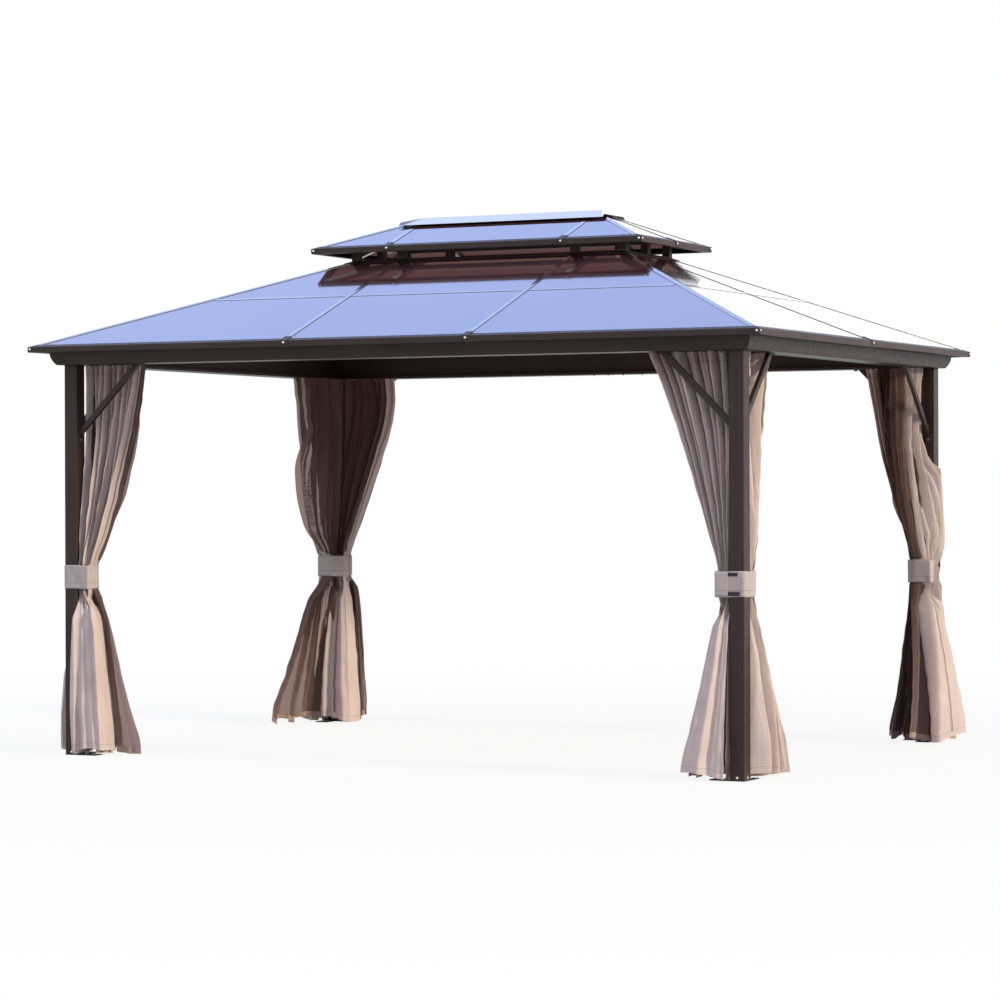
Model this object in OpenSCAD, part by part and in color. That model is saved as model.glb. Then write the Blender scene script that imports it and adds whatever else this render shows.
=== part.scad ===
// Metal gazebo with a two-tier hip roof, curtains and insect nets tied back at the corners
// Millimetres. Origin: middle of the footprint on the ground. +X along the long side, +Z up.
// The front is the long side at -Y.

/* [Roof] */
// length over the eave trims
roof_l = 4010; // [3600:10:4600]
// width over the eave trims
roof_w = 3020; // [2700:10:3400]
// height of the top edge of the lower eave trim
eave_z = 2084; // [1900:2:2400]
// slope of every roof face
roof_pitch = 21; // [17:0.5:25]
// face height of an eave trim
eave_h = 28; // [22:1:40]
// depth of an eave trim from its face to its rear edges
eave_d = 30; // [24:1:45]
// wall of the extruded trims
trim_wall = 2.5; // [2:0.5:4]
// thickness of a roof panel
panel_t = 5; // [4:0.5:8]
// distance on plan from the eave to the cross joint in the lower panels
joint_run = 666; // [450:2:850]
// width of a cross joint strip
joint_w = 24; // [16:1:40]

/* [Ribs] */
// distance of the front and back rafters past the ends of the ridge line
rafter_off = 5; // [0:1:8]
// width of a rafter tube
rib_w = 30; // [24:1:36]
// height of a rafter tube
rib_h = 30; // [20:1:40]
// width of the strip on top of a rafter
rib_cap_w = 25; // [18:1:36]
// thickness of the strips on top of the ribs
rib_cap_t = 3; // [2:0.5:5]
// wall of the rib tubes
rib_wall = 2; // [1.5:0.5:4]
// width of a hip rib tube
hip_w = 34; // [28:1:40]
// width of the folded strip on top of a hip rib
hip_cap_w = 44; // [34:1:56]
// width of the clip that bolts a rafter to the eave trim
clip_w = 38; // [30:1:50]
// length of that clip up the rafter
clip_l = 52; // [40:1:80]

/* [Vent and upper tier] */
// width over the vent curb
vent_w = 590; // [480:10:720]
// width of the curb bars and of the bars that carry the upper tier
curb_w = 40; // [30:1:50]
// height of the curb above the lower roof surface
curb_rise = 10; // [8:1:30]
// clear height of the vent gap
vent_gap = 71; // [50:1:100]
// height of the flat bars that carry the upper tier, at their outer faces
ring_h = 6; // [5:1:15]
// overhang of the upper eave past the curb
upper_over = 156; // [110:2:200]
// width of the ridge beam
ridge_w = 40; // [30:1:50]
// reach of the ridge cap's sharp edge past the ridge beam
cap_over = 2; // [0:1:20]
// distance on plan from the sharp edge to the end edges of the ridge cap
cap_end = 70; // [60:2:90]
// fall of the ridge cap from its sharp edge to its end edges
cap_end_fall = 30; // [20:1:36]
// half width of an end edge of the ridge cap
cap_end_w = 120; // [90:2:125]
// half width of the ridge cap
cap_half_w = 142; // [130:2:170]
// fall of the ridge cap from its sharp edge to its sides
cap_fall = 47; // [38:1:52]
// sheet thickness of the ridge cap
cap_t = 2; // [1.5:0.5:3]

/* [Frame] */
// height of the underside of the beams
beam_z = 1994; // [1800:2:2030]
// distance of the outer post faces from the eave
post_inset = 132; // [120:1:170]
// side of a post
post_w = 75; // [60:1:100]
// wall of posts and beams
post_wall = 2; // [1.5:0.5:4]
// rounding of the post edges
post_r = 5; // [3:0.5:10]
// width of the grooves in the post faces
groove_w = 3; // [2:0.5:6]
// distance of a groove from the middle of its face
groove_off = 20; // [12:1:24]
// reach of the beam moulding past the post face at its foot
mould_foot = 28; // [18:1:40]
// further reach of the moulding at its top
mould_flare = 26; // [14:1:36]
// height of the beam moulding
mould_h = 66; // [50:1:80]
// length of a moulded beam corner along its lower edge
corner_l = 60; // [45:1:65]
// leg of a knee brace along post and beam
brace_leg = 345; // [250:5:450]
// in-plane width of a knee brace
brace_w = 28; // [20:1:40]
// thickness of a knee brace
brace_t = 20; // [14:1:30]
// length of the flat feet at the brace ends
brace_foot = 90; // [70:2:120]
// leg of a foot plate from the outer post corner
foot_l = 178; // [160:2:220]
// thickness of a foot plate
foot_t = 5; // [4:1:10]
// diameter of the anchor holes
foot_hole = 11; // [8:0.5:14]
// distance between the two anchor holes of a leg
foot_pitch = 45; // [35:1:50]

/* [Curtains] */
// width of the double curtain track
track_w = 40; // [36:1:50]
// height of the curtain track
track_h = 14; // [12:1:20]
// spread of a gathered curtain along the track
drape_top = 400; // [250:10:550]
// spread of a curtain at the hem
drape_hem = 275; // [180:5:400]
// spread of a curtain under the tie band
drape_tie = 66; // [55:1:90]
// height of the hems above the ground
hem_z = 20; // [15:5:80]
// distance of the flared hems from the eave
hem_out = 40; // [20:2:90]
// depth of a gathered curtain under the track
fold_d = 62; // [50:1:75]
// depth of a gathered net under the track
net_d = 50; // [40:1:55]
// depth of the pleats
pleat_d = 14; // [6:1:18]
// number of pleats in a gathered curtain
pleats = 4; // [3:1:5]
// height of the middle of the tie bands
tie_z = 910; // [700:10:1200]
// height of a tie band
tie_h = 120; // [80:5:160]
// thickness of a tie band
tie_t = 3; // [2:0.5:5]

/* [Hidden] */
$fn = 48;

seat = 0.3;
slot_play = 0.6;
edge_play = 1.5;
mitre_gap = 0.5;
splice_gap = 1;
frame_color = "#3a2c27";
panel_color = "#5a3f3c";
fabric_color = "#a8968a";
net_color = "#4a3a32";

half_l = roof_l / 2;
half_w = roof_w / 2;
slope = tan(roof_pitch);
up = 1 / cos(roof_pitch);
slot_h = panel_t + slot_play;
rib_deep = slot_h + rib_h;
web_w = 6;

// roof planes: height of the panel plane at the eave of each tier
lower_z0 = eave_z - trim_wall * up;
vent_run = (roof_w - vent_w) / 2;
curb_half_l = half_l - vent_run;
curb_half_w = half_w - vent_run;
curb_plane = lower_z0 + slope * vent_run;
curb_top = curb_plane + curb_rise;
curb_foot = curb_plane - rib_deep * up;
ring_z = curb_top + vent_gap;
upper_half_l = curb_half_l + upper_over;
upper_half_w = curb_half_w + upper_over;
upper_z0 = ring_z + ring_h + rib_deep * up - slope * upper_over;
upper_eave_z = upper_z0 + trim_wall * up;

// hip ribs run at 45 degrees on plan
hip_rise = atan(slope / sqrt(2));
hip_fall = atan(slope / sqrt(2) / sqrt(1 + slope * slope / 2));
hip_web = 8;

// ridge
ridge_half = (roof_l - roof_w) / 2;
rafter_x = ridge_half + rafter_off;
ridge_end = 25;
ridge_plane = upper_z0 + slope * upper_half_w;
ridge_lift = 6;
ridge_foot = 52;
bracket_t = 20;
bracket_half = 64;
bracket_drop = 38;
bracket_top = ridge_plane - bracket_drop;
bracket_h = 30;
ridge_stop_x = ridge_half + ridge_end;
cap_top = ridge_stop_x + cap_over;
cap_slope = cap_fall / cap_half_w;
cap_z = ridge_plane + ridge_lift;

// walls
post_in = post_inset + post_w;
beam_d = post_w;
mould_r = (mould_flare * mould_flare + mould_h * mould_h) / (2 * mould_flare);
plate_top = foot_t;
beam_top_out = lower_z0 + slope * post_inset - rib_deep * up;
beam_top_in = lower_z0 + slope * post_in - rib_deep * up;

// places a child in the frame of one side: X along the eave, Y inward from it
module at_side(k, hl, hw) {
    rotate([0, 0, 90 * k])
        translate([0, -(k % 2 == 0 ? hw : hl), 0])
            children();
}

function side_half(k, hl, hw) = k % 2 == 0 ? hl : hw;

// places a child in the frame of one corner: X and Y inward from the two eaves
module at_corner(sx, sy) {
    translate([sx * half_l, sy * half_w, 0])
        mirror([sx > 0 ? 1 : 0, 0, 0])
            mirror([0, sy > 0 ? 1 : 0, 0])
                children();
}

// profile in (distance inward, height) drawn out along X
module along(len) {
    translate([-len / 2, 0, 0])
        rotate([90, 0, 90])
            linear_extrude(height = len) children();
}

// cuts the two ends of a side rail to 45 degrees
module mitred(half, reach_out, reach_in, low, high) {
    g = mitre_gap / 2 * sqrt(2);
    intersection() {
        children();
        translate([0, 0, low])
            linear_extrude(height = high - low)
                polygon([[-half - reach_out + g, -reach_out], [half + reach_out - g, -reach_out],
                    [half - reach_in - g, reach_in], [-half + reach_in + g, reach_in]]);
    }
}

// eave trim: face, lip over the panels, ledge under them and rear flange
module eave_profile(top) {
    lip = trim_wall * up;
    slot = slot_h * up;
    f = trim_wall;
    polygon([[0, top - eave_h], [0, top], [eave_d, top + slope * eave_d],
        [eave_d, top + slope * eave_d - lip], [f, top + slope * f - lip],
        [f, top + slope * f - lip - slot], [eave_d, top + slope * eave_d - lip - slot],
        [eave_d, top + slope * eave_d - 2 * lip - slot], [f, top + slope * f - 2 * lip - slot],
        [f, top - eave_h + f], [eave_d, top - eave_h + f], [eave_d, top - eave_h]]);
}

module eave_trim(k, hl, hw, top) {
    half = side_half(k, hl, hw);
    at_side(k, hl, hw)
        mitred(half, 1, eave_d + 1, top - eave_h - 1, top + eave_d)
            along(2 * half) eave_profile(top);
}

// rafter: tube, web and strip, so that panels slide in from both sides
module rafter_profile() {
    cap = rib_cap_w / 2;
    translate([-cap, 0]) square([rib_cap_w, rib_cap_t]);
    translate([-web_w / 2, -slot_h]) square([web_w, slot_h]);
    translate([-rib_w / 2, -rib_deep])
        difference() {
            square([rib_w, rib_h]);
            translate([rib_wall, rib_wall])
                square([rib_w - 2 * rib_wall, rib_h - 2 * rib_wall]);
        }
}

// one rafter in a side frame, from the trim to the plan distance stop
module rafter(u, z0, stop) {
    over = 60;
    intersection() {
        translate([u, 0, z0])
            rotate([90 + roof_pitch, 0, 0])
                translate([0, 0, -(stop + over) * up])
                    linear_extrude(height = (stop + 2 * over) * up) rafter_profile();
        translate([u - rib_w, eave_d, z0 - rib_deep * 2])
            cube([2 * rib_w, stop - eave_d, slope * stop + rib_deep * 3]);
    }
}

// hip rib: tube, web and a strip folded to both roof faces
module hip_profile() {
    t = tan(hip_fall);
    c = 1 / cos(hip_fall);
    w = hip_cap_w / 2;
    b = hip_web / 2;
    r = hip_w / 2;
    low = -rib_deep * c;
    difference() {
        polygon([[0, rib_cap_t * c], [w, rib_cap_t * c - w * t], [w, -w * t],
            [b, -b * t], [b, -b * t - slot_h * c], [r, -r * t - slot_h * c],
            [r, low], [-r, low], [-r, -r * t - slot_h * c], [-b, -b * t - slot_h * c],
            [-b, -b * t], [-w, -w * t], [-w, rib_cap_t * c - w * t]]);
        translate([-r + rib_wall, low + rib_wall])
            square([hip_w - 2 * rib_wall, rib_h - 3 * rib_wall - r * t]);
    }
}

// hip rib rising from the front right corner of a tier
module hip_rib(hl, hw, z0, run) {
    over = 60;
    intersection() {
        translate([hl, -hw, z0])
            rotate([0, 0, 45])
                rotate([90 + hip_rise, 0, 0])
                    translate([0, 0, -(run + over) * sqrt(2) / cos(hip_rise)])
                        linear_extrude(height = (run + 2 * over) * sqrt(2) / cos(hip_rise))
                            hip_profile();
        translate([-hl + eave_d, -hw + eave_d, z0 - rib_deep * 2])
            cube([2 * (hl - eave_d), 2 * (hw - eave_d), slope * hw + rib_deep * 3]);
    }
}

module four_corners() {
    for (i = [0, 1], j = [0, 1])
        mirror([i, 0, 0]) mirror([0, j, 0]) children();
}

// edge of a bay at plan distance d: hip edge for a bay end, rafter edge otherwise
function bay_lo(u, half, d, hip_c, raf_c) = abs(u) >= half ? -(half - d) + hip_c : u + raf_c;
function bay_hi(u, half, d, hip_c, raf_c) = abs(u) >= half ? half - d - hip_c : u - raf_c;
function bay_marks(k, half) = k % 2 == 0 ? [-half, -rafter_x, rafter_x, half] : [-half, 0, half];

// flat plates of one side, between the plan distances d0 and d1
module bay_plates(k, hl, hw, z0, d0, d1, low, high, hip_c, raf_c) {
    half = side_half(k, hl, hw);
    marks = bay_marks(k, half);
    at_side(k, hl, hw)
        translate([0, 0, z0])
            rotate([roof_pitch, 0, 0])
                for (b = [0 : len(marks) - 2])
                    translate([0, 0, low])
                        linear_extrude(height = high - low)
                            polygon([[bay_lo(marks[b], half, d0, hip_c, raf_c), d0 * up],
                                [bay_hi(marks[b + 1], half, d0, hip_c, raf_c), d0 * up],
                                [bay_hi(marks[b + 1], half, d1, hip_c, raf_c), d1 * up],
                                [bay_lo(marks[b], half, d1, hip_c, raf_c), d1 * up]]);
}

panel_low = -slot_h + slot_play / 2;
panel_high = panel_low + panel_t;
panel_foot = trim_wall + edge_play;
panel_hip = (hip_web / 2 + edge_play) * sqrt(2);
panel_raf = web_w / 2 + edge_play;
strip_t = 1.5;
strip_hip = hip_cap_w / 2 * sqrt(2) + joint_w / 2 + edge_play;
strip_raf = rib_w / 2 + edge_play;

module side_panels(k) {
    color(panel_color) {
        bay_plates(k, half_l, half_w, lower_z0, panel_foot, joint_run - edge_play,
            panel_low, panel_high, panel_hip, panel_raf);
        bay_plates(k, half_l, half_w, lower_z0, joint_run + edge_play, vent_run - edge_play,
            panel_low, panel_high, panel_hip, panel_raf);
    }
}

// H-section strip between the two rows of panels, one length per bay
module side_joints(k) {
    half = side_half(k, half_l, half_w);
    marks = bay_marks(k, half);
    at_side(k, half_l, half_w)
        translate([0, joint_run, lower_z0 + slope * joint_run])
            rotate([roof_pitch, 0, 0])
                for (b = [0 : len(marks) - 2]) {
                    lo = bay_lo(marks[b], half, joint_run, strip_hip, strip_raf);
                    hi = bay_hi(marks[b + 1], half, joint_run, strip_hip, strip_raf);
                    translate([(lo + hi) / 2, 0, 0])
                        along(hi - lo) joint_profile();
                }
}

module joint_profile() {
    web = edge_play;
    translate([-joint_w / 2, 0]) square([joint_w, strip_t]);
    translate([-web / 2, -slot_h]) square([web, slot_h]);
    translate([-joint_w / 2, -slot_h - strip_t]) square([joint_w, strip_t]);
}

// bolted clip that folds over the trim at the foot of a rafter
clip_share = 0.7;
corner_clip_share = 0.8;
corner_clip_l = 24;

module rafter_clip(u, top) {
    under = rib_cap_t * up;
    t = trim_wall;
    base = top - trim_wall * up;
    drop = eave_h * clip_share;
    translate([u, 0, 0])
        along(clip_w)
            polygon([[-t, top - drop], [-t, base + under + t * up - slope * t],
                [clip_l, base + slope * clip_l + under + t * up],
                [clip_l, base + slope * clip_l + under], [0, base + under], [0, top - drop]]);
}

// angle clip round the trim corner at the foot of a hip rib
module corner_clip(hl, hw, top) {
    t = trim_wall;
    h = eave_h * corner_clip_share;
    l = corner_clip_l;
    translate([hl, -hw, top - h])
        linear_extrude(height = h)
            polygon([[-l, -t], [0, -t], [t, 0], [t, l], [0, l], [0, 0], [-l, 0]]);
}

module tier_clips(hl, hw, top) {
    for (k = [0, 2])
        at_side(k, hl, hw) {
            rafter_clip(-rafter_x, top);
            rafter_clip(rafter_x, top);
        }
    for (k = [1, 3])
        at_side(k, hl, hw) rafter_clip(0, top);
    four_corners() corner_clip(hl, hw, top);
}

module tier_rafters(hl, hw, z0, stop_w, stop_l) {
    for (k = [0, 2])
        at_side(k, hl, hw) {
            rafter(-rafter_x, z0, stop_w);
            rafter(rafter_x, z0, stop_w);
        }
    for (k = [1, 3])
        at_side(k, hl, hw) rafter(0, z0, stop_l);
}

// posts, feet and braces
module foot_plate() {
    far = post_inset + foot_l;
    first = post_in + (foot_l - post_w - foot_pitch) / 2;
    mid = post_inset + post_w / 2;
    linear_extrude(height = foot_t)
        difference() {
            polygon([[post_inset, post_inset], [far, post_inset], [far, post_in],
                [post_in, post_in], [post_in, far], [post_inset, far]]);
            for (h = [first, first + foot_pitch]) {
                translate([h, mid]) circle(d = foot_hole);
                translate([mid, h]) circle(d = foot_hole);
            }
        }
}

module foot_plates() {
    color(frame_color)
        for (sx = [-1, 1], sy = [-1, 1])
            at_corner(sx, sy) foot_plate();
}

module post_profile() {
    r = post_r;
    in = post_w - 2 * r;
    difference() {
        union() {
            square([post_w, in], center = true);
            square([in, post_w], center = true);
            for (i = [-1, 1], j = [-1, 1])
                translate([i * in / 2, j * in / 2]) circle(r = r);
        }
        square(post_w - 4 * post_wall, center = true);
        for (k = [0 : 3], o = [-groove_off, groove_off])
            rotate(90 * k)
                translate([o - groove_w / 2, post_w / 2 - post_wall / 2])
                    square([groove_w, post_wall]);
    }
}

module post(sx, sy) {
    mid = post_inset + post_w / 2;
    color(frame_color)
        at_corner(sx, sy)
            translate([mid, mid, plate_top])
                linear_extrude(height = beam_z - plate_top) post_profile();
}

module post_front_left() { post(-1, -1); }
module post_front_right() { post(1, -1); }
module post_back_left() { post(-1, 1); }
module post_back_right() { post(1, 1); }

// beam: a box under the rafters with a quarter-round moulding outside
module beam_profile() {
    w = post_wall;
    lip = 3;
    difference() {
        polygon([[post_inset, beam_z], [post_in, beam_z], [post_in, beam_top_in],
            [post_inset, beam_top_out]]);
        translate([post_inset + w, beam_z + w])
            square([beam_d - 2 * w, beam_top_out - beam_z - 2 * w]);
    }
    intersection() {
        translate([post_inset - mould_foot - mould_flare + mould_r, beam_z + mould_h])
            circle(r = mould_r, $fn = 120);
        translate([post_inset - mould_foot - mould_flare, beam_z])
            square([mould_foot + mould_flare, mould_h]);
    }
    translate([post_inset - mould_foot - mould_flare, beam_z + mould_h])
        square([mould_foot + mould_flare, lip]);
}

module beam_run(k) {
    half = side_half(k, half_l, half_w);
    at_side(k, half_l, half_w)
        mitred(half, 1, post_in + 1, beam_z - 1, beam_top_in + 1)
            along(2 * half) beam_profile();
}

// plan block of the moulded corner pieces
module corner_block(grow) {
    side = post_inset - mould_foot + corner_l + grow;
    for (sx = [-1, 1], sy = [-1, 1])
        at_corner(sx, sy)
            translate([-1, -1, beam_z - 1])
                cube([side + 1, side + 1, beam_top_in - beam_z + 2]);
}

module beam(k) {
    color(frame_color)
        difference() {
            beam_run(k);
            corner_block(splice_gap);
            at_side(k, half_l, half_w)
                translate([-splice_gap / 2, 0, beam_z - 1])
                    cube([splice_gap, post_in + 1, beam_top_in - beam_z + 2]);
        }
}

module front_beam() { beam(0); }
module right_beam() { beam(1); }
module back_beam() { beam(2); }
module left_beam() { beam(3); }

// corner pieces join the two moulded runs with no mitre gap
module beam_corners() {
    color(frame_color)
        intersection() {
            corner_block(0);
            union() {
                for (k = [0 : 3])
                    at_side(k, half_l, half_w)
                        corner_mitre(side_half(k, half_l, half_w));
            }
        }
}

module corner_mitre(half) {
    intersection() {
        along(2 * half) beam_profile();
        translate([0, 0, beam_z - 1])
            linear_extrude(height = beam_top_in - beam_z + 2)
                polygon([[-half - 1, -1], [half + 1, -1],
                    [half - post_in - 1, post_in + 1], [-half + post_in + 1, post_in + 1]]);
    }
}

module brace() {
    h = brace_w / sqrt(2);
    f = brace_foot / 2;
    t = 3;
    translate([post_in, post_inset + (post_w + brace_t) / 2, beam_z])
        rotate([90, 0, 0])
            linear_extrude(height = brace_t)
                union() {
                    polygon([[0, -brace_leg - h], [0, -brace_leg + h],
                        [brace_leg - h, 0], [brace_leg + h, 0]]);
                    translate([0, -brace_leg - f]) square([t, brace_foot]);
                    translate([brace_leg - f, -t]) square([brace_foot, t]);
                }
}

module corner_braces() {
    color(frame_color)
        for (sx = [-1, 1], sy = [-1, 1])
            at_corner(sx, sy) {
                brace();
                mirror([1, -1, 0]) brace();
            }
}

// double track for curtain and net on the inner face of the beams
module track_profile() {
    w = 2;
    lane = track_w / 2;
    gap = 6;
    translate([post_in, beam_z])
        difference() {
            square([track_w, track_h]);
            for (o = [0, lane]) {
                translate([o + w, w]) square([lane - 2 * w, track_h - 2 * w]);
                translate([o + (lane - gap) / 2, -w]) square([gap, 3 * w]);
            }
        }
}

module curtain_tracks() {
    color(frame_color)
        for (k = [0 : 3])
            at_side(k, half_l, half_w)
                mitred(side_half(k, half_l, half_w), 1, post_in + track_w + 1, beam_z - 1,
                    beam_z + track_h + 1)
                    along(2 * side_half(k, half_l, half_w)) track_profile();
}

// lower tier
module front_eave() { color(frame_color) eave_trim(0, half_l, half_w, eave_z); }
module right_eave() { color(frame_color) eave_trim(1, half_l, half_w, eave_z); }
module back_eave() { color(frame_color) eave_trim(2, half_l, half_w, eave_z); }
module left_eave() { color(frame_color) eave_trim(3, half_l, half_w, eave_z); }

module lower_hip_ribs() {
    color(frame_color)
        difference() {
            four_corners() hip_rib(half_l, half_w, lower_z0, vent_run);
            translate([-curb_half_l, -curb_half_w, curb_foot - rib_deep])
                cube([2 * curb_half_l, 2 * curb_half_w, rib_deep * 4]);
        }
}

module lower_rafters() {
    color(frame_color) tier_rafters(half_l, half_w, lower_z0, vent_run, vent_run);
}

module front_panels() { side_panels(0); }
module right_panels() { side_panels(1); }
module back_panels() { side_panels(2); }
module left_panels() { side_panels(3); }

module panel_joints() {
    color(frame_color)
        for (k = [0 : 3]) side_joints(k);
}

// vent: curb with a flashing over the panel ends, short posts and the ring above
module curb_profile() {
    low = (rib_cap_t + seat) * up;
    high = low + trim_wall * up;
    reach = eave_d;
    polygon([[0, curb_foot], [curb_w, curb_foot], [curb_w, curb_top], [0, curb_top],
        [0, curb_plane + high], [-reach, curb_plane + high - slope * reach],
        [-reach, curb_plane + low - slope * reach], [0, curb_plane + low]]);
}

module vent_curb() {
    color(frame_color)
        for (k = [0 : 3])
            at_side(k, curb_half_l, curb_half_w)
                mitred(side_half(k, curb_half_l, curb_half_w), eave_d + 1, curb_w + 1,
                    curb_foot - 1, curb_top + 1)
                    along(2 * side_half(k, curb_half_l, curb_half_w) + 2 * eave_d + 2)
                        curb_profile();
}

module vent_post(x, y) {
    translate([x - curb_w / 2, y - curb_w / 2, curb_top])
        cube([curb_w, curb_w, vent_gap]);
}

module vent_posts() {
    x = curb_half_l - curb_w / 2;
    y = curb_half_w - curb_w / 2;
    color(frame_color) {
        for (i = [-1, 1], j = [-1, 1]) {
            vent_post(i * x, j * y);
            vent_post(i * rafter_x, j * y);
        }
        vent_post(-x, 0);
        vent_post(x, 0);
    }
}

module ring_profile() {
    top = ring_z + ring_h;
    polygon([[0, ring_z], [curb_w, ring_z], [curb_w, top + slope * curb_w], [0, top]]);
}

module upper_ring() {
    color(frame_color)
        for (k = [0 : 3])
            at_side(k, curb_half_l, curb_half_w)
                mitred(side_half(k, curb_half_l, curb_half_w), 1, curb_w + 1, ring_z - 1,
                    ring_z + ring_h + curb_w)
                    along(2 * side_half(k, curb_half_l, curb_half_w)) ring_profile();
}

// upper tier
ridge_run = upper_half_w - ridge_w / 2;
end_run = upper_half_l - ridge_stop_x - bracket_t;

module upper_eaves() {
    color(frame_color)
        for (k = [0 : 3]) eave_trim(k, upper_half_l, upper_half_w, upper_eave_z);
}

module upper_hip_ribs() {
    stop = ridge_stop_x + bracket_t;
    color(frame_color)
        difference() {
            four_corners() hip_rib(upper_half_l, upper_half_w, upper_z0, upper_half_w);
            translate([-stop, -upper_half_w, upper_z0 - rib_deep * 2])
                cube([2 * stop, 2 * upper_half_w, slope * upper_half_w + rib_deep * 4]);
            translate([-upper_half_l, -rib_w / 2 - seat, upper_z0 - rib_deep * 2])
                cube([2 * upper_half_l, rib_w + 2 * seat, slope * upper_half_w + rib_deep * 4]);
        }
}

module upper_rafters() {
    color(frame_color)
        tier_rafters(upper_half_l, upper_half_w, upper_z0, ridge_run, end_run);
}

module upper_panels() {
    color(panel_color) {
        for (k = [0, 2])
            bay_plates(k, upper_half_l, upper_half_w, upper_z0, panel_foot, ridge_run - edge_play,
                panel_low, panel_high, panel_hip, panel_raf);
        for (k = [1, 3])
            bay_plates(k, upper_half_l, upper_half_w, upper_z0, panel_foot, end_run - edge_play,
                panel_low, panel_high, panel_hip, panel_raf);
    }
}

module ridge_beam() {
    h = ridge_w / 2;
    foot = ridge_plane - ridge_foot;
    color(frame_color)
        rotate([90, 0, 90])
            translate([0, 0, -ridge_stop_x])
                linear_extrude(height = 2 * ridge_stop_x)
                    polygon([[-h, foot], [h, foot], [h, cap_z - h * cap_slope], [0, cap_z],
                        [-h, cap_z - h * cap_slope]]);
}

module ridge_brackets() {
    color(frame_color)
        for (i = [0, 1])
            mirror([i, 0, 0])
                translate([ridge_stop_x, -bracket_half, bracket_top - bracket_h])
                    cube([bracket_t, 2 * bracket_half, bracket_h]);
}

// folded cap over the ridge: low sides, and ends raised clear of the hip ribs
module cap_solid(z, low) {
    e = cap_top + cap_end;
    w = cap_half_w;
    y = cap_end_w;
    f = z - cap_fall;
    g = z - cap_end_fall;
    polyhedron(
        points = [[-e, -w, f - low], [e, -w, f - low], [e, w, f - low], [-e, w, f - low],
            [-e, -w, f], [e, -w, f], [e, w, f], [-e, w, f],
            [e, -y, g], [e, y, g], [-e, -y, g], [-e, y, g],
            [-cap_top, 0, z], [cap_top, 0, z]],
        faces = [[0, 1, 2, 3], [1, 0, 4, 5], [2, 1, 5, 8, 9, 6], [3, 2, 6, 7], [0, 3, 7, 11, 10, 4],
            [5, 4, 12, 13], [8, 5, 13], [9, 8, 13], [6, 9, 13],
            [7, 6, 13, 12], [4, 10, 12], [10, 11, 12], [11, 7, 12]]);
}

module ridge_cap() {
    color(frame_color)
        difference() {
            cap_solid(cap_z + cap_t, cap_t / 2);
            cap_solid(cap_z, 4 * cap_t);
        }
}

module rib_clips() {
    color(frame_color) {
        tier_clips(half_l, half_w, eave_z);
        tier_clips(upper_half_l, upper_half_w, upper_eave_z);
    }
}

// soft parts: pleated solids drawn in a corner frame as rings one above the other
// a ring runs out along the outer side and back along the inner side
function ring_side(z, t0, t1, n, depth, m, waves) =
    [for (i = [0 : m])
        let (f = i / m, p = depth * (1 - cos(360 * waves * f)) / 2)
        [post_in + t0 + (t1 - t0) * f, n + p, z]];

function flip(a) = [for (i = [len(a) - 1 : -1 : 0]) a[i]];

function clear_start(t0, n) = max(t0, n - post_in + 2 * lap);

function drape_ring(l, m) = concat(
    ring_side(l[0], clear_start(l[1], l[3] + l[5]), l[2], l[3], l[5], m, pleats),
    flip(ring_side(l[0], clear_start(l[1], l[4]), l[2], l[4], -l[5], m, pleats)));

module drape(levels) {
    m = 4 * pleats;
    p = 2 * (m + 1);
    top = len(levels) - 1;
    points = [for (l = levels) each drape_ring(l, m)];
    faces = concat(
        [for (i = [0 : m - 1]) [i, i + 1, p - 2 - i, p - 1 - i]],
        [for (r = [0 : top - 1], i = [0 : p - 1])
            [r * p + i, (r + 1) * p + i, (r + 1) * p + (i + 1) % p]],
        [for (r = [0 : top - 1], i = [0 : p - 1])
            [r * p + i, (r + 1) * p + (i + 1) % p, r * p + (i + 1) % p]],
        [for (i = [0 : m - 1], q = top * p) [q + i, q + p - 1 - i, q + p - 2 - i, q + i + 1]]);
    polyhedron(points = points, faces = faces, convexity = 8);
}

// heights of the levels, and the sides that the folds keep clear of
lap = 1;
band_margin = 6;
brace_margin = 8;
brace_play = 3;
band_play = 8;
thin = 4;
drape_z = beam_z - seat;
brace_low = beam_z - brace_leg - brace_foot / 2 - brace_margin;
tie_low = tie_z - tie_h / 2 - band_margin;
tie_high = tie_z + tie_h / 2 + band_margin;
low_mid = (hem_z + tie_low) / 2;
high_mid = (tie_high + brace_low) / 2;
layer = post_in - lap;
brace_in = post_inset + (post_w + brace_t) / 2 + brace_play;
fold_in = brace_in + fold_d;
mid_in = (layer + fold_in) / 2;
tie_out = post_inset + band_play;
net_in = 28;
net_hem = 80;
net_tie = drape_tie - band_margin;

// shares of the spread half way to the hem, half way to the braces and at the braces
low_share = 0.6;
mid_share = 0.34;
brace_share = 0.75;
net_share = 0.9;

function widen(share) = drape_tie + (drape_top - drape_tie) * share;

// levels from hem to track: height, start, end, outer side, inner side, pleat depth
curtain_levels = [
    [hem_z, lap, drape_hem, hem_out, layer, pleat_d],
    [low_mid, lap, drape_hem * low_share, (hem_out + tie_out) / 2, layer, pleat_d],
    [tie_low, lap, drape_tie, tie_out, layer, thin],
    [tie_high, lap, drape_tie, tie_out, layer, thin],
    [high_mid, lap, widen(mid_share), (tie_out + brace_in) / 2, mid_in, pleat_d],
    [brace_low, 2 * lap, widen(brace_share), brace_in, fold_in, pleat_d],
    [drape_z, 4 * lap, drape_top, brace_in, fold_in, pleat_d]];

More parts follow.
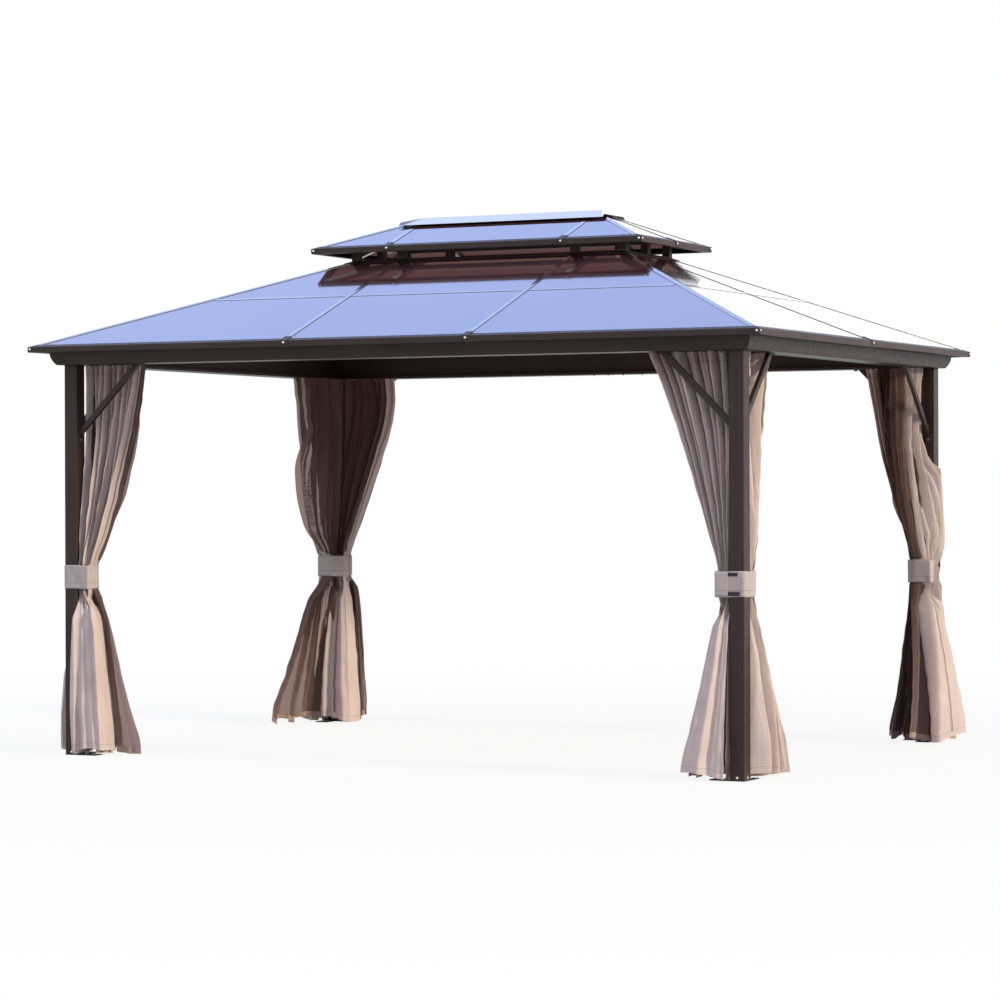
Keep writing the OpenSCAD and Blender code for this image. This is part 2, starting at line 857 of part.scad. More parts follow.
net_levels = [
    [hem_z, 2 * lap, drape_hem * net_share, layer + lap, layer + net_hem, pleat_d],
    [low_mid, 2 * lap, drape_hem * low_share * net_share, layer + lap,
        layer + (net_in + net_hem) / 2, pleat_d],
    [tie_low, 2 * lap, net_tie, layer + lap, layer + net_in, thin],
    [tie_high, 2 * lap, net_tie, layer + lap, layer + net_in, thin],
    [high_mid, 2 * lap, widen(mid_share) * net_share, mid_in + lap,
        mid_in + lap + (net_in + net_d) / 2, thin],
    [brace_low, 4 * lap, widen(brace_share) * net_share, fold_in + lap, fold_in + lap + net_d,
        pleat_d],
    [drape_z, 6 * lap, drape_top * net_share, fold_in + lap, fold_in + lap + net_d, pleat_d]];

module corner_pair(sx, sy) {
    at_corner(sx, sy) {
        children();
        mirror([1, -1, 0]) children();
    }
}

module curtain(sx, sy) { color(fabric_color) corner_pair(sx, sy) drape(curtain_levels); }
module net(sx, sy) { color(net_color) corner_pair(sx, sy) drape(net_levels); }

module curtain_front_left() { curtain(-1, -1); }
module curtain_front_right() { curtain(1, -1); }
module curtain_back_left() { curtain(-1, 1); }
module curtain_back_right() { curtain(1, 1); }
module net_front_left() { net(-1, -1); }
module net_front_right() { net(1, -1); }
module net_back_left() { net(-1, 1); }
module net_back_right() { net(1, 1); }

// tie band round a post and its two gathered curtains
tie_near = post_inset - seat;
tie_far = post_in + drape_tie + seat;
tie_diag = post_in + net_tie + layer + net_in + lap;

function tie_outline(o) =
    let (n = tie_near - o, f = tie_far + o, c = tie_diag + o * sqrt(2))
    [[n, n], [f, n], [f, c - f], [c - f, f], [n, f]];

module tie(sx, sy) {
    color(fabric_color)
        at_corner(sx, sy)
            translate([0, 0, tie_z - tie_h / 2])
                linear_extrude(height = tie_h)
                    difference() {
                        polygon(tie_outline(tie_t));
                        polygon(tie_outline(0));
                    }
}

module tie_front_left() { tie(-1, -1); }
module tie_front_right() { tie(1, -1); }
module tie_back_left() { tie(-1, 1); }
module tie_back_right() { tie(1, 1); }

foot_plates();
post_front_left();
post_front_right();
post_back_left();
post_back_right();
front_beam();
right_beam();
back_beam();
left_beam();
beam_corners();
corner_braces();
curtain_tracks();
front_eave();
right_eave();
back_eave();
left_eave();
lower_hip_ribs();
lower_rafters();
front_panels();
right_panels();
back_panels();
left_panels();
panel_joints();
vent_curb();
vent_posts();
upper_ring();
upper_eaves();
upper_hip_ribs();
upper_rafters();
upper_panels();
ridge_beam();
ridge_brackets();
ridge_cap();
rib_clips();
curtain_front_left();
curtain_front_right();
curtain_back_left();
curtain_back_right();
net_front_left();
net_front_right();
net_back_left();
net_back_right();
tie_front_left();
tie_front_right();
tie_back_left();
tie_back_right();
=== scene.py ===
import math
import bpy
import numpy as np
from mathutils import Matrix, Vector


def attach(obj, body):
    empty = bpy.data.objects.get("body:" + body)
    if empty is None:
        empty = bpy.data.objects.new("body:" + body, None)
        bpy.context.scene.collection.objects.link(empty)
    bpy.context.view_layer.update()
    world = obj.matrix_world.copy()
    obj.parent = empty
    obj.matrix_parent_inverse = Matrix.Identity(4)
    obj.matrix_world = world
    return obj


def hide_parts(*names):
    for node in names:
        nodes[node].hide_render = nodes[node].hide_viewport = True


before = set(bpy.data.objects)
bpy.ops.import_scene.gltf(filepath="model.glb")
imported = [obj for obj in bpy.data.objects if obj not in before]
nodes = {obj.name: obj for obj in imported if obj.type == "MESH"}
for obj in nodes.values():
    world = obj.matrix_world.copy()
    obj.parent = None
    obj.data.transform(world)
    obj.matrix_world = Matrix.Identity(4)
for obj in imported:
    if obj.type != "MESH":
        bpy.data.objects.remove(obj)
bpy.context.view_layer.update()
scene = bpy.context.scene
scene.view_settings.view_transform = "Standard"
fullTurn = 2 * math.pi
print("frame loaded with", len(nodes), "nodes")

# the gazebo's own sizes in metres; a and b run in from the roof edge at a corner
gazebo = dict(
    halfL=2.005, halfW=1.510,  # half the roof at the eaves
    postOut=0.132, postIn=0.207,  # outer and inner face of a post
    trackOut=0.207, trackIn=0.247,  # edges of the curtain track
    beamZ=1.994,  # underside of the beams and tracks
    eaveZ=2.084,  # top of the lower eave trim
    upperL=0.946, upperW=0.451, upperZ=2.6156,  # upper eave trim
)
corners = dict(front_left=(-1, -1), front_right=(1, -1), back_left=(-1, 1), back_right=(1, 1))
sides = ("long", "short")


def tone(r, g, b):
    # a screen colour from 0 to 255 as the linear colour a shader takes
    c = np.array((r, g, b)) / 255
    return (*np.where(c <= 0.04045, c / 12.92, ((c + 0.055) / 1.055) ** 2.4).tolist(), 1.0)


# camera at the photograph's place
view = dict(place=(7.58657, -15.36001, 1.34747), azimuth=26.494, pitch=-0.1715, roll=0.1656,
            lens=117.675, sensor=36, reach=300)


def setCamera():
    az, up, roll = (math.radians(view[k]) for k in ("azimuth", "pitch", "roll"))
    ahead = Vector((-math.sin(az) * math.cos(up), math.cos(az) * math.cos(up), math.sin(up)))
    right = Vector((math.cos(az), math.sin(az), 0))
    down = ahead.cross(right)
    across = right * math.cos(roll) + down * math.sin(roll)
    drop = down * math.cos(roll) - right * math.sin(roll)
    data = bpy.data.cameras.new("camera")
    data.lens, data.sensor_width, data.clip_end = view["lens"], view["sensor"], view["reach"]
    camera = bpy.data.objects.new("camera", data)
    facing = Matrix((across, -drop, -ahead)).transposed().to_4x4()
    camera.matrix_world = Matrix.Translation(view["place"]) @ facing
    scene.collection.objects.link(camera)
    scene.camera = camera


# shader nodes: sockets by name or number, each with a value or another node's output
def add(nt, kind, sockets=None, **settings):
    n = nt.nodes.new("ShaderNode" + kind)
    for key, value in settings.items():
        setattr(n, key, value)
    for key, value in (sockets or {}).items():
        if isinstance(value, bpy.types.NodeSocket):
            nt.links.new(value, n.inputs[key])
        else:
            n.inputs[key].default_value = value
    return n


def calc(nt, how, first, second=0.0, third=0.0):
    return add(nt, "Math", {0: first, 1: second, 2: third}, operation=how).outputs[0]


def blendTone(nt, share, first, second):
    return add(nt, "Mix", {0: share, 6: first, 7: second}, data_type="RGBA").outputs[2]


def spread(nt, value, low, high, toLow, toHigh):
    return add(nt, "MapRange", {0: value, 1: low, 2: high, 3: toLow, 4: toHigh}).outputs[0]


def noise(nt, place, scale, detail):
    return add(nt, "TexNoise", {"Vector": place, "Scale": scale, "Detail": detail}).outputs[0]


def newMaterial(name):
    mat = bpy.data.materials.new(name)
    mat.use_nodes = True
    nt = mat.node_tree
    nt.nodes.clear()
    out = add(nt, "OutputMaterial")
    skin = add(nt, "BsdfPrincipled")
    nt.links.new(skin.outputs[0], out.inputs[0])
    return mat, nt, skin, out


# light: an even pale room, and a mirror sky that only gloss sees, white low down and blue high up
studio = dict(
    room=0.90, roomSide=0.36, roomTone=(232, 238, 255), roomFrom=-0.1, roomTo=0.7,
    sunLevel=4.8, sunFrom=(0.95, -0.10, 0.33), sunWidth=8, sunTone=(255, 236, 206),
    fillLevel=1.5, fillFrom=(-0.10, -0.72, 0.80), fillWidth=50, fillTone=(236, 240, 255),
    skyLow=1.40, skyHigh=1.95, skyTone=(174, 197, 255), skyFrom=0.22, skyTo=0.60,
)


def setLight():
    world = bpy.data.worlds.new("studio")
    scene.world = world
    world.use_nodes = True
    nt = world.node_tree
    nt.nodes.clear()
    path = add(nt, "LightPath")
    height = add(nt, "SeparateXYZ", {0: add(nt, "TexCoord").outputs["Generated"]}).outputs[2]
    low = add(nt, "Background", {0: (1, 1, 1, 1), 1: studio["skyLow"]})
    high = add(nt, "Background", {0: tone(*studio["skyTone"]), 1: studio["skyHigh"]})
    level = studio["roomSide"] * studio["room"]
    above = spread(nt, height, studio["roomFrom"], studio["roomTo"], level, studio["room"])
    room = add(nt, "Background", {0: tone(*studio["roomTone"]), 1: above})
    white = add(nt, "Background", {0: (1, 1, 1, 1), 1: 1.0})
    rise = spread(nt, height, studio["skyFrom"], studio["skyTo"], 0.0, 1.0)
    mirror = add(nt, "MixShader", {0: rise, 1: low.outputs[0], 2: high.outputs[0]})
    shiny = calc(nt, "MAXIMUM", path.outputs["Is Glossy Ray"], path.outputs["Is Transmission Ray"])
    unseen = add(nt, "MixShader", {0: shiny, 1: room.outputs[0], 2: mirror.outputs[0]})
    seen = path.outputs["Is Camera Ray"]
    both = add(nt, "MixShader", {0: seen, 1: unseen.outputs[0], 2: white.outputs[0]})
    nt.links.new(both.outputs[0], add(nt, "OutputWorld").inputs[0])

    for name in ("sun", "fill"):
        data = bpy.data.lights.new(name, "SUN")
        data.energy, data.angle = studio[name + "Level"], math.radians(studio[name + "Width"])
        data.color = tone(*studio[name + "Tone"])[:3]
        lamp = bpy.data.objects.new(name, data)
        lamp.rotation_euler = Vector(studio[name + "From"]).to_track_quat("Z", "Y").to_euler()
        scene.collection.objects.link(lamp)


# floor: pale and matt, shown nearly white; beyond far it is as white as the room
ground = dict(tone=(190, 189, 187), worn=0.97, rough=0.9, glow=0.88, near=3.5, far=8.5, half=60.0, z=-0.0006)


def setFloor():
    mat, nt, skin, out = newMaterial("paleFloor")
    place = add(nt, "TexCoord").outputs["Object"]
    grain = noise(nt, place, 3.0, 3.0)
    pale = tone(*ground["tone"])
    worn = tuple(ground["worn"] * c for c in pale[:3]) + (1,)
    nt.links.new(blendTone(nt, grain, pale, worn), skin.inputs["Base Color"])
    skin.inputs["Roughness"].default_value = ground["rough"]
    path = add(nt, "LightPath")
    seen = calc(nt, "MAXIMUM", path.outputs["Is Camera Ray"], path.outputs["Is Glossy Ray"])
    glow = add(nt, "Emission", {0: (1, 1, 1, 1), 1: 1.0})
    away = add(nt, "VectorMath", {0: place}, operation="LENGTH").outputs["Value"]
    level = spread(nt, away, ground["near"], ground["far"], ground["glow"], 1.0)
    share = calc(nt, "MULTIPLY", seen, level)
    mix = add(nt, "MixShader", {0: share, 1: skin.outputs[0], 2: glow.outputs[0]})
    nt.links.new(mix.outputs[0], out.inputs[0])
    s, z = ground["half"], ground["z"]
    mesh = bpy.data.meshes.new("floor")
    mesh.from_pydata([(-s, -s, z), (s, -s, z), (s, s, z), (-s, s, z)], [], [(0, 1, 2, 3)])
    mesh.materials.append(mat)
    floor = bpy.data.objects.new("floor", mesh)
    scene.collection.objects.link(floor)


# powder coat: chocolate brown with a fine peel, uneven sheen, and edges painted paler, partly as rubbed wear and partly
# as a painted highlight
coat = dict(dark=(37, 27, 25), light=(44, 33, 30), wornAndHighlitEdge=(116, 102, 92), edge=0.0022,
            cloud=4.5, peel=520.0, fleck=38.0, peelDepth=0.0003, gloss=0.07, ior=2.1)


def powderCoat(name, rough, shine):
    mat, nt, skin, _ = newMaterial(name)
    place = add(nt, "TexCoord").outputs["Object"]
    cloud = noise(nt, place, coat["cloud"], 5.0)
    peel = noise(nt, place, coat["peel"], 2.0)
    fleck = noise(nt, place, coat["fleck"], 6.0)
    soft = add(nt, "Bevel", {"Radius": coat["edge"]}, samples=4).outputs[0]
    flat = add(nt, "NewGeometry").outputs["True Normal"]
    turn = add(nt, "VectorMath", {0: soft, 1: flat}, operation="DOT_PRODUCT").outputs["Value"]
    # edges are painted paler, partly rubbed wear and partly a painted highlight
    edge = spread(nt, turn, 0.97, 0.82, 0.0, 1.0)
    edgeWearAndHighlight = calc(nt, "MULTIPLY", edge, spread(nt, fleck, 0.35, 0.75, 0.10, 0.55))
    share = spread(nt, cloud, 0.3, 0.7, 0.0, 1.0)
    body = blendTone(nt, share, tone(*coat["dark"]), tone(*coat["light"]))
    nt.links.new(blendTone(nt, edgeWearAndHighlight, body, tone(*coat["wornAndHighlitEdge"])), skin.inputs["Base Color"])
    nt.links.new(spread(nt, fleck, 0.3, 0.7, *rough), skin.inputs["Roughness"])
    bump = {"Strength": 0.35, "Distance": coat["peelDepth"], "Height": peel, "Normal": soft}
    nt.links.new(add(nt, "Bump", bump).outputs[0], skin.inputs["Normal"])
    skin.inputs["Specular IOR Level"].default_value = 0.22 + 0.5 * shine
    skin.inputs["Coat Weight"].default_value = shine
    skin.inputs["Coat Roughness"].default_value = coat["gloss"]
    skin.inputs["Coat IOR"].default_value = coat["ior"]
    return mat


# roof sheet: bronze twin wall plastic, glossy, letting some light through, with fine flutes down the slope
sheet = dict(
    dark=(56, 38, 46), light=(74, 52, 60), dust=(150, 138, 132), dustShare=0.10,
    # the underside's paler tone and faint glow are painted light, standing in for light that comes through the sheet
    under=(192, 146, 140), underPaintedGlow=0.13,  # the underside, lit by what comes through
    glow=(196, 132, 128), glowShare=0.14,
    flute=0.010, fluteDepth=0.0003,
    bow=-0.11,  # tilts the mirror's normal, so that the upper tier shows lower or higher in it
    gloss=0.05, ior=2.1, underIor=1.35, underCoat=0.1,
)


def roofSheet():
    mat, nt, skin, out = newMaterial("bronzeRoofSheet")
    place = add(nt, "TexCoord").outputs["Object"]
    cloud = noise(nt, place, 1.6, 4.0)
    dust = noise(nt, place, 60.0, 6.0)
    side = add(nt, "SeparateXYZ", {0: add(nt, "NewGeometry").outputs["True Normal"]})
    spot = add(nt, "SeparateXYZ", {0: place})
    lies = [calc(nt, "ABSOLUTE", side.outputs[k]) for k in (0, 1)]
    endwise = calc(nt, "GREATER_THAN", *lies)
    across = {0: endwise, 2: spot.outputs[0], 3: spot.outputs[1]}
    along = add(nt, "Mix", across, data_type="FLOAT").outputs[0]
    flute = calc(nt, "SINE", calc(nt, "MULTIPLY", along, fullTurn / sheet["flute"]))
    streak = spread(nt, flute, -1.0, 1.0, 0.0, 1.0)
    share = spread(nt, cloud, 0.3, 0.7, 0.0, 1.0)
    body = blendTone(nt, share, tone(*sheet["dark"]), tone(*sheet["light"]))
    # the underside is painted a paler tone: painted light for light coming through the sheet
    below = spread(nt, side.outputs[2], -0.2, -0.6, 0.0, 1.0)  # 1 on the underside
    body = blendTone(nt, below, body, tone(*sheet["under"]))
    dusty = spread(nt, dust, 0.5, 0.8, 0.0, sheet["dustShare"])
    nt.links.new(blendTone(nt, dusty, body, tone(*sheet["dust"])), skin.inputs["Base Color"])
    nt.links.new(spread(nt, dust, 0.4, 0.8, 0.05, 0.16), skin.inputs["Roughness"])
    bump = add(nt, "Bump", {"Strength": 0.12, "Distance": sheet["fluteDepth"], "Height": streak})
    tilt = (0.0, 0.0, sheet["bow"])
    bowed = add(nt, "VectorMath", {0: bump.outputs[0], 1: tilt}, operation="ADD")
    bowed = add(nt, "VectorMath", {0: bowed.outputs[0]}, operation="NORMALIZE")
    nt.links.new(bowed.outputs[0], skin.inputs["Normal"])
    nt.links.new(bowed.outputs[0], skin.inputs["Coat Normal"])
    nt.links.new(spread(nt, below, 0.0, 1.0, sheet["ior"], sheet["underIor"]), skin.inputs["IOR"])
    nt.links.new(spread(nt, below, 0.0, 1.0, 1.0, sheet["underCoat"]), skin.inputs["Coat Weight"])
    # the underside also glows faintly though it is no lamp: painted light coming through the sheet
    skin.inputs["Emission Color"].default_value = tone(*sheet["under"])
    shine = spread(nt, below, 0.0, 1.0, 0.0, sheet["underPaintedGlow"])
    nt.links.new(shine, skin.inputs["Emission Strength"])
    skin.inputs["Coat Roughness"].default_value = sheet["gloss"]
    skin.inputs["Coat IOR"].default_value = sheet["ior"]
    through = add(nt, "BsdfTranslucent", {0: tone(*sheet["glow"])})
    mix = add(nt, "MixShader", {0: sheet["glowShare"], 1: skin.outputs[0], 2: through.outputs[0]})
    nt.links.new(mix.outputs[0], out.inputs[0])
    return mat


# cloth: a plain weave on the cut's own metres, slubs along the yarn, seams near its free edge and hem
# the map's first number is the distance from the free edge, its second the height above the hem
cloth = dict(
    pitch=0.0016, slub=(240.0, 9.0), weaveDepth=0.0005,
    hem=0.030, header=1.925, seam=0.012, stitch=0.0016, seamStitch=0.0014,
    wrinkle=0.020, wrinkleScale=(7.0, 2.2), wrinkleTurn=0.3,
    sheen=0.18, sheenRough=0.5, holeTone=(255, 226, 220),
    curtain=dict(dark=(178, 166, 164), light=(208, 197, 195), stitch=(118, 105, 99),
                 glow=(224, 198, 180), glowShare=0.33, rough=0.82),
    # the band is the curtain's own cloth; its darker tones here are painted shade
    band=dict(dark=(146, 137, 135), light=(174, 165, 162), stitch=(104, 93, 88),
              glow=(200, 176, 158), glowShare=0.12, rough=0.82),
    netting=dict(dark=(74, 58, 53), light=(98, 79, 72), stitch=(58, 45, 40),
                 glow=(150, 114, 102), glowShare=0.30, rough=0.72, hemTone=(150, 132, 122), mesh=0.16),
)


def wovenCloth(name, dark, light, stitch, glow, glowShare, rough, hemTone=None, mesh=0.0):
    mat, nt, skin, out = newMaterial(name)
    uv = add(nt, "TexCoord").outputs["UV"]
    part = add(nt, "SeparateXYZ", {0: uv})
    x, y = part.outputs[0], part.outputs[1]
    turns = fullTurn / cloth["pitch"]
    warp = calc(nt, "SINE", calc(nt, "MULTIPLY", x, turns))
    weft = calc(nt, "SINE", calc(nt, "MULTIPLY", y, turns))
    knit = calc(nt, "MULTIPLY", warp, weft)
    close, far = cloth["slub"]
    tall = add(nt, "Mapping", {"Vector": uv, "Scale": (close, far, 1.0)})
    wide = add(nt, "Mapping", {"Vector": uv, "Scale": (far, close, 1.0)})
    slubUp = noise(nt, tall.outputs[0], 1.0, 3.0)
    slubOut = noise(nt, wide.outputs[0], 1.0, 3.0)
    cloud = noise(nt, uv, 3.5, 4.0)
    shade = calc(nt, "ADD", calc(nt, "MULTIPLY", slubUp, 0.4), calc(nt, "MULTIPLY", slubOut, 0.3))
    shade = calc(nt, "MULTIPLY_ADD", cloud, 0.5, shade)
    body = blendTone(nt, spread(nt, shade, 0.40, 0.80, 0.0, 1.0), tone(*dark), tone(*light))
    inHem = calc(nt, "LESS_THAN", y, cloth["hem"])
    if hemTone:
        body = blendTone(nt, inHem, body, tone(*hemTone))
    lines = calc(nt, "COMPARE", y, cloth["hem"], cloth["stitch"])  # stitches over the hem and by the free edge
    lines = calc(nt, "MAXIMUM", lines, calc(nt, "COMPARE", y, cloth["header"], cloth["stitch"]))
    for at in (cloth["seam"], 3 * cloth["seam"]):
        lines = calc(nt, "MAXIMUM", lines, calc(nt, "COMPARE", x, at, cloth["seamStitch"]))
    sewn = calc(nt, "MULTIPLY", lines, 0.6)
    nt.links.new(blendTone(nt, sewn, body, tone(*stitch)), skin.inputs["Base Color"])
    yarn = calc(nt, "MULTIPLY_ADD", knit, 0.5, slubUp)
    rise = calc(nt, "SUBTRACT", yarn, calc(nt, "MULTIPLY", lines, 1.5))
    bump = add(nt, "Bump", {"Strength": 0.5, "Distance": cloth["weaveDepth"], "Height": rise})
    lean, stretch = (0.0, 0.0, cloth["wrinkleTurn"]), (*cloth["wrinkleScale"], 1.0)
    slack = add(nt, "Mapping", {"Vector": uv, "Rotation": lean, "Scale": stretch})
    creased = {"Vector": slack.outputs[0], "Scale": 1.6, "Detail": 4.0, "Roughness": 0.45, "Distortion": 0.8}
    wrinkle = add(nt, "TexNoise", creased).outputs[0]
    worn = {"Strength": 0.55, "Distance": cloth["wrinkle"], "Height": wrinkle, "Normal": bump.outputs[0]}
    nt.links.new(add(nt, "Bump", worn).outputs[0], skin.inputs["Normal"])
    nt.links.new(spread(nt, shade, 0.4, 0.8, rough - 0.06, rough + 0.06), skin.inputs["Roughness"])
    skin.inputs["Sheen Weight"].default_value = cloth["sheen"]
    skin.inputs["Sheen Roughness"].default_value = cloth["sheenRough"]
    through = add(nt, "BsdfTranslucent", {0: tone(*glow)})
    mix = add(nt, "MixShader", {0: glowShare, 1: skin.outputs[0], 2: through.outputs[0]})
    if mesh:  # netting: this share of the light goes between the yarns, but not in the hem
        holes = add(nt, "BsdfTransparent", {0: tone(*cloth["holeTone"])})
        gaps = calc(nt, "MULTIPLY", calc(nt, "SUBTRACT", 1.0, inHem), mesh)
        mix = add(nt, "MixShader", {0: gaps, 1: mix.outputs[0], 2: holes.outputs[0]})
    nt.links.new(mix.outputs[0], out.inputs[0])
    return mat


# small parts: zinc steel, dark plastic, zip tape and hook tape
smallParts = dict(
    steelDark=(168, 166, 162), steelLight=(214, 212, 208), steelGrain=420.0, metal=0.75,
    plasticDark=(30, 28, 34), plasticLight=(48, 46, 52), plasticGrain=300.0, plasticRough=0.5,
    tapeFurrowShade=(128, 112, 104), tapeLight=(154, 138, 128), toothGapShade=(52, 43, 40), toothLight=(96, 82, 76),
    chain=0.30, tooth=0.005, rib=0.002,  # share of the tape's half width, and pitches
    hookGapShade=(24, 20, 30), hookLight=(44, 38, 52), hookGrain=620.0, hookRough=0.92,
    relief=0.0006,
)


def boltSteel():
    mat, nt, skin, _ = newMaterial("zincSteel")
    place = add(nt, "TexCoord").outputs["Object"]
    grain = noise(nt, place, smallParts["steelGrain"], 4.0)
    dark, light = tone(*smallParts["steelDark"]), tone(*smallParts["steelLight"])
    nt.links.new(blendTone(nt, grain, dark, light), skin.inputs["Base Color"])
    nt.links.new(spread(nt, grain, 0.3, 0.7, 0.22, 0.42), skin.inputs["Roughness"])
    skin.inputs["Metallic"].default_value = smallParts["metal"]
    return mat


def plainPlastic():
    mat, nt, skin, _ = newMaterial("darkPlastic")
    place = add(nt, "TexCoord").outputs["Object"]
    grain = noise(nt, place, smallParts["plasticGrain"], 5.0)
    dark, light = tone(*smallParts["plasticDark"]), tone(*smallParts["plasticLight"])
    rough = smallParts["plasticRough"]
    nt.links.new(blendTone(nt, grain, dark, light), skin.inputs["Base Color"])
    nt.links.new(spread(nt, grain, 0.3, 0.7, rough - 0.08, rough + 0.08), skin.inputs["Roughness"])
    bump = add(nt, "Bump", {"Strength": 0.3, "Distance": 0.0004, "Height": grain})
    nt.links.new(bump.outputs[0], skin.inputs["Normal"])
    return mat


def zipTapeSkin():
    # tape with a woven rib across it, its furrows darkened as painted shade, and a dark chain of teeth down its middle
    # with painted shade between the teeth
    mat, nt, skin, _ = newMaterial("zipTape")
    part = add(nt, "SeparateXYZ", {0: add(nt, "TexCoord").outputs["UV"]})
    chain = calc(nt, "LESS_THAN", calc(nt, "ABSOLUTE", part.outputs[0]), smallParts["chain"])
    tooth, rib = (calc(nt, "SINE", calc(nt, "MULTIPLY", part.outputs[1], fullTurn / smallParts[k]))
                  for k in ("tooth", "rib"))
    # rib and teeth are coloured by their relief, darker in the hollows: painted shade
    tape = blendTone(nt, spread(nt, rib, -1.0, 1.0, 0.0, 1.0),
                     tone(*smallParts["tapeFurrowShade"]), tone(*smallParts["tapeLight"]))
    teeth = blendTone(nt, spread(nt, tooth, -0.4, 0.4, 0.0, 1.0),
                      tone(*smallParts["toothGapShade"]), tone(*smallParts["toothLight"]))
    nt.links.new(blendTone(nt, chain, tape, teeth), skin.inputs["Base Color"])
    nt.links.new(spread(nt, chain, 0.0, 1.0, 0.8, 0.42), skin.inputs["Roughness"])
    rise = calc(nt, "ADD", calc(nt, "MULTIPLY", chain, tooth), calc(nt, "MULTIPLY", rib, 0.2))
    bump = add(nt, "Bump", {"Strength": 0.6, "Distance": smallParts["relief"], "Height": rise})
    nt.links.new(bump.outputs[0], skin.inputs["Normal"])
    return mat


def hookTape():
    # hook and loop tape: a close stubble of loops, with painted shade between them
    mat, nt, skin, _ = newMaterial("hookTape")
    place = add(nt, "TexCoord").outputs["Object"]
    loops = {"Vector": place, "Scale": smallParts["hookGrain"]}
    stubble = add(nt, "TexVoronoi", loops).outputs["Distance"]
    # darker between the loops: painted shade
    between = spread(nt, stubble, 0.1, 0.7, 0.0, 1.0)
    light, dark = tone(*smallParts["hookLight"]), tone(*smallParts["hookGapShade"])
    nt.links.new(blendTone(nt, between, light, dark), skin.inputs["Base Color"])
    raised = {"Strength": 0.7, "Distance": smallParts["relief"], "Height": stubble}
    nt.links.new(add(nt, "Bump", raised, invert=True).outputs[0], skin.inputs["Normal"])
    skin.inputs["Roughness"].default_value = smallParts["hookRough"]
    return mat


# meshes from whole arrays: a grid of points, rows by columns, becomes quads with its own map
def gridQuads(rows, cols, closed=False, flip=False):
    r, c = np.meshgrid(np.arange(rows - 1), np.arange(cols if closed else cols - 1), indexing="ij")
    nxt = (c + 1) % cols
    ring = (r * cols + c, r * cols + nxt, (r + 1) * cols + nxt, (r + 1) * cols + c)
    quads = np.stack(ring, axis=-1).reshape(-1, 4)
    return quads[:, ::-1] if flip else quads


def makePiece(name, points, quads, material, uv=None, stands=()):
    mesh = bpy.data.meshes.new(name)
    mesh.from_pydata(points.reshape(-1, 3).tolist(), [], quads.tolist())
    mesh.polygons.foreach_set("use_smooth", np.ones(len(mesh.polygons), dtype=bool))
    if uv is not None:
        layer = mesh.uv_layers.new(name="cut")
        layer.data.foreach_set("uv", uv.reshape(-1, 2)[quads.ravel()].ravel())
    mesh.materials.append(material)
    mesh.update()
    piece = bpy.data.objects.new(name, mesh)
    scene.collection.objects.link(piece)
    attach(piece, "root")
    if stands:
        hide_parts(*stands)
    return piece


def thicken(piece, thick):
    shell = piece.modifiers.new("thickness", "SOLIDIFY")
    shell.thickness, shell.offset = thick, 1.0


